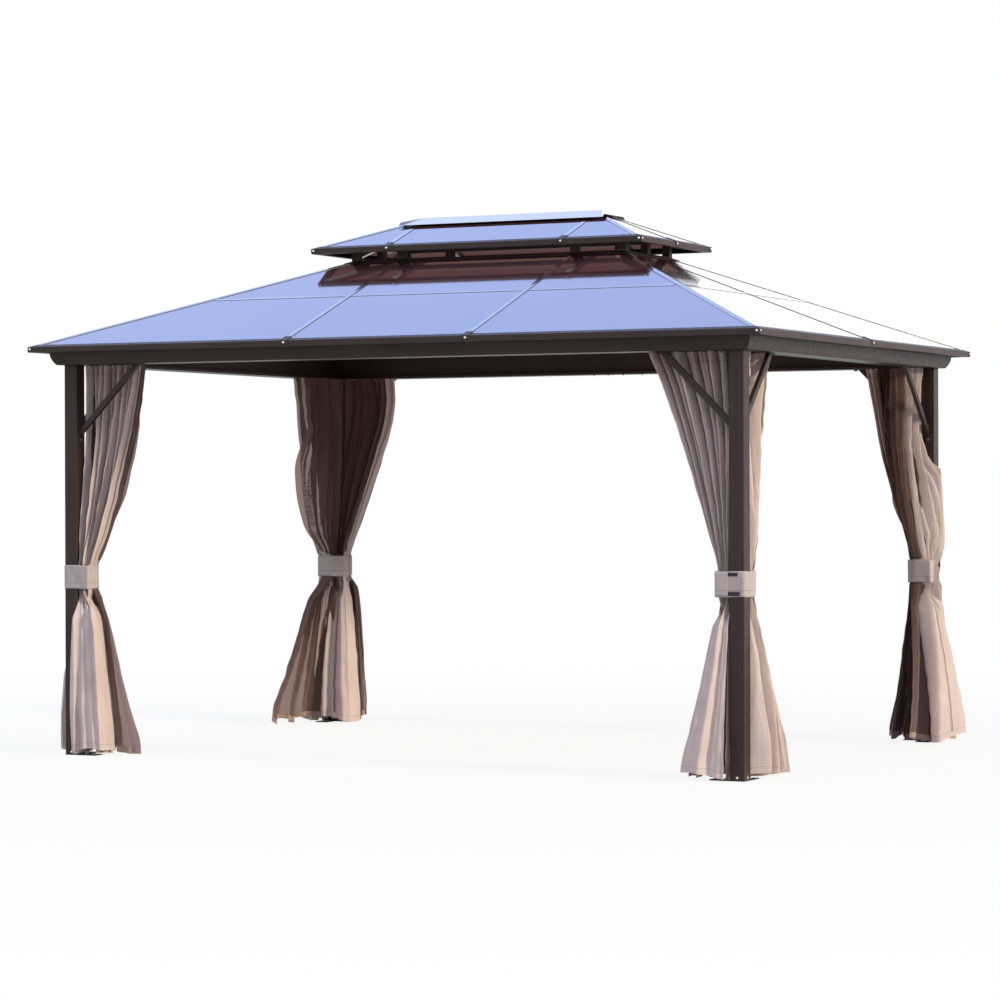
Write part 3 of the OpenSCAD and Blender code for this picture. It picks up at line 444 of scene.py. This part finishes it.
# drapes: curtain and netting pulled back to each post
# along is the way along the wall from the post, deep the way in from the roof edge
drapes = dict(
    curtainGrid=(250, 118), netGrid=(180, 84), flat=dict(long=1.80, short=1.30), tall=1.975,
    topZ=1.9925, hemZ=0.024,
    heights=(1.9925, 1.88, 1.70, 1.50, 1.30, 1.10, 1.00, 0.91, 0.83, 0.65, 0.45, 0.25, 0.10, 0.024),
    # where the free edge is at those heights
    edges=dict(
        front_left_long=(
            0.318, 0.300, 0.265, 0.222, 0.182, 0.128, 0.080, 0.063, 0.078, 0.122, 0.142, 0.158, 0.172, 0.172),
        front_left_short=(
            0.400, 0.390, 0.350, 0.300, 0.240, 0.150, 0.080, 0.063, 0.080, 0.140, 0.180, 0.230, 0.280, 0.290),
        front_right_long=(
            0.462, 0.400, 0.330, 0.255, 0.177, 0.105, 0.070, 0.062, 0.066, 0.105, 0.145, 0.190, 0.232, 0.245),
        front_right_short=(
            0.445, 0.430, 0.415, 0.370, 0.295, 0.185, 0.100, 0.063, 0.075, 0.155, 0.225, 0.280, 0.335, 0.350),
        back_left_long=(
            0.425, 0.446, 0.418, 0.330, 0.230, 0.128, 0.075, 0.063, 0.068, 0.108, 0.142, 0.165, 0.188, 0.180),
        back_left_short=(
            0.490, 0.480, 0.466, 0.428, 0.330, 0.212, 0.105, 0.064, 0.070, 0.088, 0.104, 0.124, 0.142, 0.142),
        back_right_long=(
            0.305, 0.278, 0.238, 0.198, 0.145, 0.088, 0.065, 0.060, 0.064, 0.092, 0.125, 0.155, 0.200, 0.210),
        back_right_short=(
            0.150, 0.140, 0.125, 0.112, 0.100, 0.086, 0.070, 0.063, 0.070, 0.110, 0.150, 0.190, 0.230, 0.240)),
    # the same for netting that goes its own way
    netEdges=dict(
        front_left_long=(
            0.318, 0.300, 0.265, 0.222, 0.182, 0.128, 0.080, 0.063, 0.080, 0.158, 0.205, 0.262, 0.325, 0.330),
        back_left_short=(
            0.515, 0.506, 0.496, 0.464, 0.368, 0.242, 0.112, 0.064, 0.086, 0.205, 0.285, 0.385, 0.505, 0.500)),
    # where the cloth starts, for those that swing out past the post
    starts=dict(
        front_left_long=(
            0.004, 0.004, 0.004, 0.004, 0.004, 0.004, 0.004, 0.004, 0.002, -0.012, -0.022, -0.026, -0.020, -0.012),
        back_left_long=(
            0.004, 0.004, 0.004, 0.004, 0.004, 0.004, 0.004, 0.004, 0.002, -0.004, -0.012, -0.014, -0.014, -0.012),
        back_right_short=(
            0.004, 0.004, 0.004, 0.002, -0.046, -0.074, -0.050, 0.004, -0.010, -0.055, -0.100, -0.142, -0.176, -0.190)),
    start=0.003,
    # height, middle and half depth from the track down to the band
    depth=((1.989, 0.250, 0.054), (1.60, 0.258, 0.054), (1.30, 0.222, 0.050), (1.10, 0.188, 0.044),
           (0.91, 0.176, 0.040)),
    # middle and half depth at the hem of each, and its count of ribs
    hems=dict(
        front_left_long=(0.172, 0.072, 9.0), front_left_short=(0.052, 0.072, 5.8),
        front_right_long=(0.132, 0.082, 8.6), front_right_short=(0.112, 0.085, 5.3),
        back_left_long=(0.280, 0.070, 9.4), back_left_short=(0.108, 0.054, 6.8),
        back_right_long=(0.150, 0.074, 8.0), back_right_short=(0.062, 0.052, 6.8)),
    # height and share of the hem's depth
    bell=((0.83, 0.0), (0.65, 0.32), (0.45, 0.62), (0.25, 0.86), (0.10, 0.98), (0.024, 1.0)),
    inward=("back_left_long", "back_left_short", "back_right_long"),  # broad ribs on the room's side
    netStep=((1.989, 0.030), (1.250, 0.036), (0.980, 0.026), (0.840, 0.030), (0.024, 0.060)),
    insideOut=("back_left_long",), insideStep=-0.095,  # below the band this curtain hangs inside its netting
    # how far the netting stops short of the curtain's edge, or passes it
    lag=dict(back_left_long=0.028, back_right_long=0.16, back_right_short=-0.170), lagElse=0.006,
    # below the band these turn back on themselves at this share of their width, the smaller part a smooth front
    panels=dict(front_left_long=0.27, front_right_long=0.27, back_left_long=0.74, back_right_short=0.74),
    tilt=dict(front_left_long=0.80),  # how far that front turns to the side
    overPost=("back_right_short",),  # crosses the post above the band
    # where a netting's loose part starts, its side and the share of ribs it keeps
    loose=dict(front_left_long=(0.86, 0.0, 0.05), back_left_short=(0.22, -0.80, 0.72)),
)

# folds: what shapes the ribs, as shares of their depth unless a note says otherwise
folds = dict(
    bend=(0.24, 0.26, 0.18, 0.10), crowd=0.22,  # how uneven the ribs' widths are, and how they crowd to one side
    bandZ=0.91, belowZ=0.84, fall=0.80,  # height of the band, and where and how far ribs run out below it
    highZ=1.00, highRise=0.25,
    flare=0.80, paceLeast=0.25,  # how far the sides of a rib lean over the valleys
    fade=0.50, edgeFlat=0.75, edgeFrom=0.88,  # ribs fade to the hem and at the free edge
    swell=0.16, tuck=0.09, pucker=0.22, broad=0.55, standBack=0.42,
    bandReach=0.11, trackReach=0.06,  # metres over which the puckers die away
    crease=0.0011,  # metres
    panelZ=0.86, panelFall=0.14, panelOut=0.92, panelWaves=(0.17, 0.10, 0.14),  # smooth fronts below the band
    panelTurn=0.04, panelFan=0.08,
    ribsShare=0.85, ribsBack=0.40,  # ribs behind a smooth front
    hemWave=0.016, sag=0.005, sagReach=0.09, leastZ=0.008,  # metres
)

# limits: heights, with how near the roof edge and how deep the cloth may go there, clear of brace, band and post
limits = dict(
    outer=((0.0, 0.78, 0.845, 0.975, 1.04, 1.56, 1.60, 2.0),
           (0.010, 0.06, 0.1345, 0.1345, 0.11, 0.14, 0.1825, 0.1825)),
    inner=((0.0, 0.70, 0.845, 0.975, 1.12, 2.0), (1.0, 0.40, 0.290, 0.290, 0.40, 1.0)),
    along=((0.70, 0.845, 0.975, 1.12), (1.0, 0.0640, 0.0640, 1.0)),
    past=((0.70, 0.79, 0.845, 0.975, 1.03, 1.15), (-1.0, -0.06, 0.004, 0.004, -0.04, -1.0)),
    over=((1.02, 1.10, 1.42, 1.66), (0.0, 1.0, 1.0, 0.0)),
    netZ=0.90, netStart=0.004,  # netting never passes the post above the band
    faceCurtain=0.121, faceNet=0.126, faceWave=0.016,  # how close cloth past the post lies to its outer face
    mitreCurtain=0.002, mitreNet=0.004, mitreInside=0.014,
)


def ramp(x, start, over):
    # from 0 at start to 1 after that distance; a distance below 0 runs downwards
    return np.clip((x - start) / over, 0, 1)


def eased(z, heights, values):
    # straight runs between the given heights, smoothed over a hand's breadth
    fine = np.linspace(0.0, 2.0, 401)
    run = np.interp(fine, heights[::-1], values[::-1])
    bell = np.exp(-0.5 * (np.arange(-24, 25) / 8.0) ** 2)
    run = np.convolve(np.pad(run, 24, mode="edge"), bell / bell.sum(), mode="valid")
    return np.interp(z, fine, run)


def clothPlan(corner, side):
    # the sizes of one cloth by height, and its random but repeatable bends
    name = corner + "_" + side
    rng = np.random.default_rng(40 + list(drapes["edges"]).index(name))
    edge = drapes["edges"][name]
    start = drapes["starts"].get(name, [drapes["start"]] * len(drapes["heights"]))
    base = np.array(drapes["depth"][-1][1:])
    flared = np.array(drapes["hems"][name][:2]) - base
    depth = list(drapes["depth"]) + [(z, *(base + flared * share)) for z, share in drapes["bell"]]
    steps = np.array(drapes["netStep"])
    if name in drapes["insideOut"]:
        steps[-2:, 1] = drapes["insideStep"]
    return dict(name=name, corner=corners[corner], side=side, ribs=drapes["hems"][name][2],
                start=np.array(start), edge=np.array(edge),
                netEdge=np.array(drapes["netEdges"].get(name, edge)),
                depth=np.array(depth), steps=steps, facing=1 if name in drapes["inward"] else -1,
                turn=rng.uniform(0, 2 * np.pi, 12), bend=rng.uniform(-1, 1, 4) * folds["bend"],
                creases=rng.uniform(-1, 1, (9, 4)))


def foldWave(q, z, plan):
    # trochoid ribs: depth follows a cosine while the ribs' sides lean out over the valleys between them,
    # their widths made uneven by slow sines; finer tucks ride on them, puckers gather at band and track,
    # and below the band the ribs run out into a few broad folds
    f, turn, count = folds, plan["turn"], plan["ribs"]
    k = np.arange(1, 5)[:, None, None]
    angle, bend = 2 * np.pi * k * q + turn[:4, None, None], plan["bend"][:, None, None]
    uneven = q + (bend * np.sin(angle) / (2 * np.pi * k)).sum(axis=0) + f["crowd"] * (q ** 2 - q)
    pace = 1 + (bend * np.cos(angle)).sum(axis=0) + f["crowd"] * (2 * q - 1)
    low = ramp(z, f["belowZ"], -f["fall"])
    sway = 0.55 * np.sin(2.2 * z + turn[5])
    phase = 2 * np.pi * count * uneven + turn[4] + sway + 0.22 * np.sin(5.5 * z + 4 * q + turn[6])
    atEdge = 1 - f["edgeFlat"] * ramp(q, f["edgeFrom"], 1 - f["edgeFrom"]) ** 2
    swell = 1 - f["swell"] + f["swell"] * np.sin(2 * np.pi * 1.7 * q + turn[7] + 1.4 * z)
    main = (1 - f["fade"] * low ** 0.7) * atEdge * swell
    tuck = f["tuck"] * np.sin(2.6 * phase + turn[8] + 1.3 * np.sin(3.1 * z + turn[9]))
    close = np.exp(-np.abs(z - f["bandZ"]) / f["bandReach"])
    close = close + 0.8 * np.exp(-(drapes["topZ"] - z) / f["trackReach"])
    pucker = f["pucker"] * close * np.sin(3.3 * phase + turn[10] + 6 * z)
    broad = f["broad"] * low ** 0.8 * np.sin(2 * np.pi * 2.2 * q + turn[11] + 0.6 * z)
    drift = turn[10] + 0.9 * np.sin(2.3 * z + turn[2])
    high = ramp(z, f["highZ"], f["highRise"])
    broad = broad + f["standBack"] * high * np.sin(2 * np.pi * 0.36 * count * q + drift)  # some ribs stand back
    wave = main * np.cos(phase) + tuck + pucker + broad
    lean = f["flare"] * main * np.sin(phase) / (2 * np.pi * count * np.maximum(pace, f["paceLeast"]))
    return wave, lean, phase


def turnBack(q, z, plan, turnAt, below, wave, lean):
    # the cloth goes to turnAt and comes back: ribs on the long part, a smooth front on the short one
    turn, waves = plan["turn"], folds["panelWaves"]
    share = np.minimum(q / turnAt, (1 - q) / (1 - turnAt))
    back = 1 - np.sqrt((1 - share) ** 2 + 0.002)
    front = below * np.clip((q - turnAt) / folds["panelTurn"] * (1 if turnAt > 0.5 else -1) + 0.5, 0, 1)
    smooth = waves[0] * np.sin(2 * np.pi * 1.3 * back + turn[1] + 0.8 * z)
    smooth = smooth + waves[1] * np.sin(2 * np.pi * 3.1 * back + turn[3] + 2.0 * z)
    fan = np.exp(-np.maximum(folds["panelZ"] - z, 0) / folds["panelFan"])
    smooth = smooth + waves[2] * fan * np.sin(2 * np.pi * 5.3 * back + 5 * z)
    smooth = smooth + drapes["tilt"].get(plan["name"], 0.0) * (back - 0.5) + folds["panelOut"]
    return wave * (1 - 0.98 * front) + front * smooth, lean + below * (back - lean)


def drapePoints(q, z, plan, netting=False):
    # q runs along the wall from post to free edge, z is the height; both are grids
    name, heights = plan["name"], drapes["heights"]
    first = eased(z, heights, plan["start"])
    last = eased(z, heights, plan["netEdge" if netting else "edge"])
    first = np.maximum(first, np.where(netting & (z > limits["netZ"]), limits["netStart"], -1.0))
    middle, half = (eased(z, plan["depth"][:, 0], plan["depth"][:, k]) for k in (1, 2))
    wave, lean, phase = foldWave(q, z, plan)
    lean = q + lean
    below = ramp(z, folds["panelZ"], -folds["panelFall"])
    if name in drapes["panels"]:  # ribs stand back to leave room for the smooth front
        wave = (folds["ribsShare"] * wave - folds["ribsBack"]) * below + wave * (1 - below)
        if not netting:
            wave, lean = turnBack(q, z, plan, drapes["panels"][name], below, wave, lean)
    step = eased(z, plan["steps"][:, 0], plan["steps"][:, 1])
    if netting and name in drapes["loose"]:  # the loose part spreads out flat past the curtain's edge
        at, lies, kept = drapes["loose"][name]
        inner = (eased(z, heights, plan["edge"]) - first) / (last - first)
        apart = np.where(q < at, q / at * inner, inner + (q - at) / (1 - at) * (1 - inner))
        loose = below * np.clip((q - at) / 0.06 + 0.5, 0, 1)
        lean = lean + below * (apart - lean)
        ripple = 0.14 * np.sin(15 * (q - at) / (1 - at) + 1.5 * z)
        wave = wave * (1 - (1 - kept) * loose) + loose * (lies + ripple)
        step = step * (1 - loose * abs(lies))
    # creases: a few slanting ripples of a hand's breadth, in patches
    ripple = sum(np.sin(2 * np.pi * (6 * c[0] * q + (6 + 4 * c[1]) * z) + 9 * c[2]) for c in plan["creases"])
    patch = 0.45 + 0.55 * np.sin(3.7 * q + 4.1 * z + plan["turn"][0]) ** 2
    deep = middle + half * plan["facing"] * wave + folds["crease"] * patch * ripple
    along = first + (last - first) * np.clip(lean, -0.02, 1.02)
    if netting:
        deep = deep + step
        lag = drapes["lag"].get(name, drapes["lagElse"])
        along = along - lag * ramp(q, 0.55, 0.45) ** 2 * ramp(last, 0.05, 0.3)
    # clear of the brace above, inside the band at its height, and short of the cloth on the other wall
    along = np.minimum(along, np.interp(z, *limits["along"]))
    deep = np.minimum(np.maximum(deep, np.interp(z, *limits["outer"])), np.interp(z, *limits["inner"]) - along)
    crossed = name in drapes["insideOut"] and not netting
    if name in drapes["starts"] and not crossed:  # past the post the cloth lies along its outer face
        along = np.maximum(along, np.interp(z, *limits["past"]))
        over = np.interp(z, *limits["over"]) * (name in drapes["overPost"] and not netting)
        past = np.clip(-first / 0.008, 0, 1) * np.clip(1 - along / 0.03, 0, 1)
        past = np.maximum(past, over ** 1.5 * np.clip(1 - along / 0.07, 0, 1))
        face = limits["faceNet" if netting else "faceCurtain"] - limits["faceWave"] * (1 + np.tanh(wave))
        deep = deep + past * (np.minimum(deep, face) - deep)
    mitre = deep - gazebo["postIn"] + limits["mitreNet" if netting else "mitreCurtain"]
    mitre = mitre * (1 - crossed * ramp(z, folds["belowZ"], -0.2))
    along = np.maximum(along, mitre - limits["mitreInside"] * crossed)
    low = ramp(z, folds["belowZ"], -0.82)
    sag = folds["sag"] * np.exp(-(drapes["topZ"] - z) / folds["sagReach"]) * (1 - np.cos(phase)) / 2
    drop = z - sag + folds["hemWave"] * low ** 3 * np.sin(2 * np.pi * 1.9 * q + plan["turn"][2])
    return toWorld(plan["corner"], plan["side"], along, deep, np.maximum(drop, folds["leastZ"]))


def cornerPlace(signs, a, b, z):
    # from distances in from the roof's edges at a corner to the gazebo's own frame
    return np.stack((signs[0] * (gazebo["halfL"] - a), signs[1] * (gazebo["halfW"] - b), z), axis=-1)


def toWorld(signs, side, along, deep, z):
    far = gazebo["postIn"] + along
    a, b = (far, deep) if side == "long" else (deep, far)
    return cornerPlace(signs, a, b, z + 0 * a)


def hangDrapes(curtainCloth, netCloth):
    top, hem = drapes["topZ"], drapes["hemZ"]
    for kind, skin in (("curtain", curtainCloth), ("net", netCloth)):
        cols, rows = drapes[kind + "Grid"]
        q, v = np.meshgrid(np.linspace(0, 1, cols), np.linspace(0, 1, rows))
        z = top + (hem - top) * v
        for corner, signs in corners.items():
            for side in sides:
                wide = drapes["flat"][side]
                quads = gridQuads(rows, cols, flip=(signs[0] * signs[1] < 0) == (side == "long"))
                uv = np.stack((wide * (1 - q), z - hem), axis=-1)
                points = drapePoints(q, z, clothPlan(corner, side), kind == "net")
                name, stands = f"{kind}_cloth_{corner}_{side}", [f"{kind}_{corner}"]
                piece = makePiece(name, points, quads, skin, uv, stands)


# bands that hold the drapes to the posts
bands = dict(
    near=0.1317, far=0.2733, cut=0.502, round=0.014,  # outline round post and cloth, its slanted side and corners
    low=0.850, high=0.970, thick=0.003, count=180, rows=15, out=0.0012,
    bow=0.0016, pucker=0.0016, slack=0.0010, wander=0.0015, mapStart=0.1,
)


def bandLoop(count, grow):
    # the outline of post and gathered cloth seen from above, corners rounded by averaging along the line
    n, f, d = bands["near"] - grow, bands["far"] + grow, bands["cut"] + 1.41 * grow
    knots = np.array(((n, n), (f, n), (f, d - f), (d - f, f), (n, f), (n, n)))
    steps = np.concatenate(([0], np.cumsum(np.linalg.norm(np.diff(knots, axis=0), axis=1))))
    s = np.linspace(0, steps[-1], count, endpoint=False)
    loop = np.stack([np.interp(s, steps, knots[:, k]) for k in (0, 1)], axis=-1)
    width = max(1, int(bands["round"] / (steps[-1] / count)))
    bell = np.hanning(2 * width + 3)[1:-1]
    wrap = np.concatenate((loop[-width:], loop, loop[:width]))
    smooth = [np.convolve(wrap[:, k], bell / bell.sum(), mode="valid") for k in (0, 1)]
    return np.stack(smooth, axis=-1), steps[-1]


def tieBands(material):
    b, count, rows = bands, bands["count"], bands["rows"]
    v = np.linspace(0, 1, rows)[:, None]
    for index, (corner, signs) in enumerate(corners.items()):
        loop, around = bandLoop(count, b["out"])
        s = np.linspace(0, 1, count, endpoint=False)[None, :]
        # the band puckers a little along its edges and wanders up and down
        pucker = b["pucker"] * np.sin(2 * np.pi * (9 * s + 0.4 * v) + index) * (2 * v - 1) ** 2
        slack = b["slack"] * np.sin(2 * np.pi * 5 * s + 3 * v + index)
        away = loop - loop.mean(axis=0)
        away = away / np.linalg.norm(away, axis=1, keepdims=True)
        plan = loop[None] + away[None] * (b["bow"] + pucker + slack)[..., None]
        z = b["low"] + (b["high"] - b["low"]) * v + b["wander"] * np.sin(2 * np.pi * 3 * s + index)
        points = cornerPlace(signs, plan[..., 0], plan[..., 1], z)
        uv = np.stack((np.broadcast_to(b["mapStart"] + around * s, z.shape), z - b["low"]), axis=-1)
        quads = gridQuads(rows, count, closed=True, flip=signs[0] * signs[1] > 0)
        piece = makePiece("band_" + corner, points, quads, material, uv, ["tie_" + corner])
        thicken(piece, b["thick"])


# what closes a band: the loose end laid over it, and two tabs of hook tape beside the loose end
# upper and lower give each tab's start and end along the band, and its lower and upper edge
tabs = dict(
    lapStart=0.0860, lapEnd=0.190, lapGrow=0.0062, lapLow=0.002, lapHigh=0.001, lapGrid=(60, 9),
    upper=(0.037, 0.0850, 0.948, 0.964), lower=(0.027, 0.0850, 0.857, 0.875), tabGrow=0.0058, tabGrid=(16, 5),
    thick=0.0022, onSide=("front_left",), fine=720,
)


def bandPatch(start, end, low, high, grow, grid, swap):
    # a patch of the band's outside: start and end are distances along its outer face from the post's corner
    (cols, rows), fine = grid, tabs["fine"]
    loop, around = bandLoop(fine, grow)
    at = np.linspace(start, end, cols) / around * fine
    a, b = (np.interp(at, np.arange(fine), loop[:, k]) for k in ((1, 0) if swap else (0, 1)))
    z = np.linspace(low, high, rows)[:, None]
    return [np.broadcast_to(part, (rows, cols)) for part in (a, b, z)]


def closeBands(clothSkin, tabSkin):
    points, quads, total = [], [], 0
    low, high = bands["low"] + tabs["lapLow"], bands["high"] - tabs["lapHigh"]
    (lapCols, lapRows), (tabCols, tabRows) = tabs["lapGrid"], tabs["tabGrid"]
    for corner, signs in corners.items():
        swap = corner in tabs["onSide"]
        flip = (signs[0] * signs[1] > 0) != swap
        patch = bandPatch(tabs["lapStart"], tabs["lapEnd"], low, high, tabs["lapGrow"], tabs["lapGrid"], swap)
        uv = np.stack((bands["mapStart"] + patch[0] + patch[1], patch[2] - bands["low"]), axis=-1)
        lap = gridQuads(lapRows, lapCols, flip=flip)
        piece = makePiece("band_end_" + corner, cornerPlace(signs, *patch), lap, clothSkin, uv,
                          ["tie_" + corner])
        thicken(piece, tabs["thick"])
        for spot in ("upper", "lower"):
            patch = bandPatch(*tabs[spot], tabs["tabGrow"], tabs["tabGrid"], swap)
            points.append(cornerPlace(signs, *patch).reshape(-1, 3))
            quads.append(gridQuads(tabRows, tabCols, flip=flip) + total)
            total += tabRows * tabCols
    piece = makePiece("hook_tabs", np.concatenate(points), np.concatenate(quads), tabSkin)
    thicken(piece, tabs["thick"])


# zips: a tape with teeth sewn to each curtain at a set distance from its free edge, as a flat tube round the cloth
zips = dict(
    fromEdge=0.19, wide=0.024, proud=0.0016, rows=150, topGap=0.02, hemGap=0.03,
    # the tube's outline: share of the half width, and of how proud it stands
    ring=((-1, 1), (-0.33, 1.15), (0.33, 1.15), (1, 1), (1, -1), (0.33, -1.15), (-0.33, -1.15), (-1, -1)),
    reach=0.012, least=0.8, most=1.7,  # share of the cloth that its run is read from, and limits of the widening
    stepAcross=0.002, stepDown=0.004,
)


def sewZips(material):
    top, hem = drapes["topZ"] - zips["topGap"], drapes["hemZ"] + zips["hemGap"]
    ring, across, down = np.array(zips["ring"]), zips["stepAcross"], zips["stepDown"]
    for corner in corners:
        for side in sides:
            plan, wide = clothPlan(corner, side), drapes["flat"][side]
            middle, z = 1 - zips["fromEdge"] / wide, np.linspace(top, hem, zips["rows"])[:, None]
            # the tape keeps its width where the cloth's own run is longer or shorter than its cut
            step = np.linspace(-zips["reach"], zips["reach"], 13)
            line = drapePoints(middle + step + 0 * z, z + 0 * step, plan)
            run = np.linalg.norm(np.diff(line, axis=1), axis=-1).sum(axis=1)
            stretch = np.clip(2 * zips["reach"] * wide / run, zips["least"], zips["most"])
            half = zips["wide"] / 2 / wide * stretch
            half = np.convolve(np.pad(half, 4, mode="edge"), np.full(9, 1 / 9), mode="valid")[:, None]
            q, z = middle + half * ring[:, 0], z + 0 * ring[:, 0]
            here = drapePoints(q, z, plan)
            away = np.cross(drapePoints(q + across, z, plan) - drapePoints(q - across, z, plan),
                            drapePoints(q, z - down, plan) - drapePoints(q, z + down, plan))
            away = away / np.maximum(np.linalg.norm(away, axis=-1, keepdims=True), 1e-9)
            points = here + away * (zips["proud"] * ring[:, 1])[None, :, None]
            uv = np.stack((np.broadcast_to(ring[:, 0], z.shape), z), axis=-1)
            quads = gridQuads(zips["rows"], len(ring), closed=True)
            name, stands = f"zip_{corner}_{side}", ["curtain_" + corner]
            piece = makePiece(name, points, quads, material, uv, stands)


# small turned fittings: one outline swung round its axis, copied to every spot
def turned(radii, heights, count):
    turn = np.linspace(0, 2 * np.pi, count, endpoint=False)
    r, h = np.array(radii)[:, None], np.array(heights)[:, None]
    points = np.stack((r * np.cos(turn), r * np.sin(turn), h + 0 * turn), axis=-1).reshape(-1, 3)
    return points, gridQuads(len(radii), count, closed=True)


def scatter(name, shape, spots, axes, material, slotName="frame"):
    # each copy's own z axis points along axes, and its foot stands on spots
    points, quads = shape
    spots, axes = np.array(spots, float), np.array(axes, float)
    helper = np.where(np.abs(axes[:, 2:]) > 0.9, (1.0, 0.0, 0.0), (0.0, 0.0, 1.0))
    u = np.cross(helper, axes)
    v = np.cross(axes, u)
    put = spots[:, None] + points[None, :, :1] * u[:, None] + points[None, :, 1:2] * v[:, None]
    put = put + points[None, :, 2:] * axes[:, None]
    quads = (quads[None] + (np.arange(len(spots)) * len(points))[:, None, None]).reshape(-1, 4)
    return makePiece(name, put, quads, material)


# each outline is radii, heights and the count of sides; places are distances in from the roof edges
fittings = dict(
    bolt=((0.0105, 0.0105, 0.0090, 0.0078, 0.0078, 0.0066, 0.0003),
          (0.0, 0.0012, 0.0016, 0.0017, 0.0050, 0.0062, 0.0064), 12),
    screw=((0.0062, 0.0062, 0.0052, 0.0034, 0.0003), (0.0, 0.0012, 0.0024, 0.0032, 0.0034), 10),
    anchor=((0.0130, 0.0130, 0.0100, 0.0085, 0.0085, 0.0070, 0.0003),
            (0.0, 0.0016, 0.0020, 0.0022, 0.0080, 0.0096, 0.0098), 6),
    glider=((0.0050, 0.0050, 0.0034, 0.0018, 0.0018, 0.0036, 0.0003),
            (0.0, 0.0022, 0.0032, 0.0040, 0.0075, 0.0086, 0.0100), 8),
    perDrape=9, parked=(-0.116, -0.030, 0.062, 0.178),  # gliders left in the middle of the back track
    clipDrop=0.0098, cornerDrop=0.0112, cornerIn=0.012, proud=0.0025, rafterX=0.500,
    brace=dict(post=(0.210, 0.1695, 1.611), beam=(0.588, 0.1695, 1.991)),
    footScrew=(0.1695, 0.016), anchors=(0.236, 0.281), anchorSide=0.1695, plateTop=0.005,
)


def addFittings(steel, dark):
    f, both = fittings, (-1, 1)
    spots, axes = [], []
    lower = (gazebo["halfL"], gazebo["halfW"], gazebo["eaveZ"])
    upper = (gazebo["upperL"], gazebo["upperW"], gazebo["upperZ"])
    for halfL, halfW, top in (lower, upper):
        clipZ, cornerZ = top - f["clipDrop"], top - f["cornerDrop"]
        for k in both:
            spots += [(x, k * (halfW + f["proud"]), clipZ) for x in (-f["rafterX"], f["rafterX"])]
            spots += [(x * (halfL - f["cornerIn"]), k * (halfW + f["proud"]), cornerZ) for x in both]
            axes += [(0, k, 0)] * 4
            spots += [(k * (halfL + f["proud"]), 0, clipZ)]
            spots += [(k * (halfL + f["proud"]), y * (halfW - f["cornerIn"]), cornerZ) for y in both]
            axes += [(k, 0, 0)] * 3
    scatter("clip_bolts", turned(*f["screw"]), spots, axes, steel)

    def pair(kind, signs, place, first, second):
        # a fitting on the long wall and its twin on the short one, each with its own axis
        a, b, z = place
        kind[0].extend((cornerPlace(signs, a, b, z), cornerPlace(signs, b, a, z)))
        kind[1].extend((first, second))

    bolts, screws, anchors = ([], []), ([], []), ([], [])
    up, down = (0, 0, 1), (0, 0, -1)
    for signs in corners.values():
        x, y = (signs[0], 0, 0), (0, signs[1], 0)  # outwards on the short and on the long wall
        pair(bolts, signs, f["brace"]["post"], (-signs[0], 0, 0), (0, -signs[1], 0))
        pair(bolts, signs, f["brace"]["beam"], down, down)
        pair(screws, signs, (f["footScrew"][0], gazebo["postOut"], f["footScrew"][1]), y, x)
        for a in f["anchors"]:
            pair(anchors, signs, (a, f["anchorSide"], f["plateTop"]), up, up)
    scatter("brace_bolts", turned(*f["bolt"]), *bolts, dark)
    scatter("foot_screws", turned(*f["screw"]), *screws, steel)
    scatter("ground_anchors", turned(*f["anchor"]), *anchors, steel)

    track, hooks = 0.5 * (gazebo["trackOut"] + gazebo["trackIn"]), []
    share = (np.arange(f["perDrape"]) + 0.5) / f["perDrape"]
    for corner, signs in corners.items():
        for side in sides:
            far = share * drapes["edges"][corner + "_" + side][0]
            hooks.append(toWorld(signs, side, far, np.full(len(far), track), gazebo["beamZ"]))
    hooks.append(np.array([(x, gazebo["halfW"] - track, gazebo["beamZ"]) for x in f["parked"]]))
    hooks = np.concatenate(hooks)
    scatter("track_gliders", turned(*f["glider"]), hooks, np.tile((0, 0, -1), (len(hooks), 1)), dark)


setCamera()
setLight()
setFloor()
print("camera, light and floor set")

# each coat's least and most roughness, and its shine
frameCoat = powderCoat("powderCoat", (0.38, 0.52), 0.0)
stripCoat = powderCoat("glossCoat", (0.10, 0.22), 1.0)
roofSkin = roofSheet()
strips = ("lower_rafters", "lower_hip_ribs", "upper_rafters", "upper_hip_ribs", "panel_joints", "ridge_cap")
curtainCloth = wovenCloth("taupeCurtain", **cloth["curtain"])
# the bands get a darker copy of the curtain cloth: painted shade
shadedBandCloth = wovenCloth("taupeBandShaded", **cloth["band"])
netCloth = wovenCloth("brownNetting", **cloth["netting"])
for name, node in nodes.items():
    skin = roofSkin if name.endswith("panels") else stripCoat if name in strips else frameCoat
    for place in node.material_slots:
        place.material = skin
    if not node.material_slots:
        node.data.materials.append(skin)
print("finishes on the CAD nodes")

hangDrapes(curtainCloth, netCloth)
tieBands(shadedBandCloth)
print("drapes hung and tied")

steel, darkPlastic, zipTape = boltSteel(), plainPlastic(), zipTapeSkin()
closeBands(shadedBandCloth, hookTape())
sewZips(zipTape)
addFittings(steel, darkPlastic)
print("fittings added")
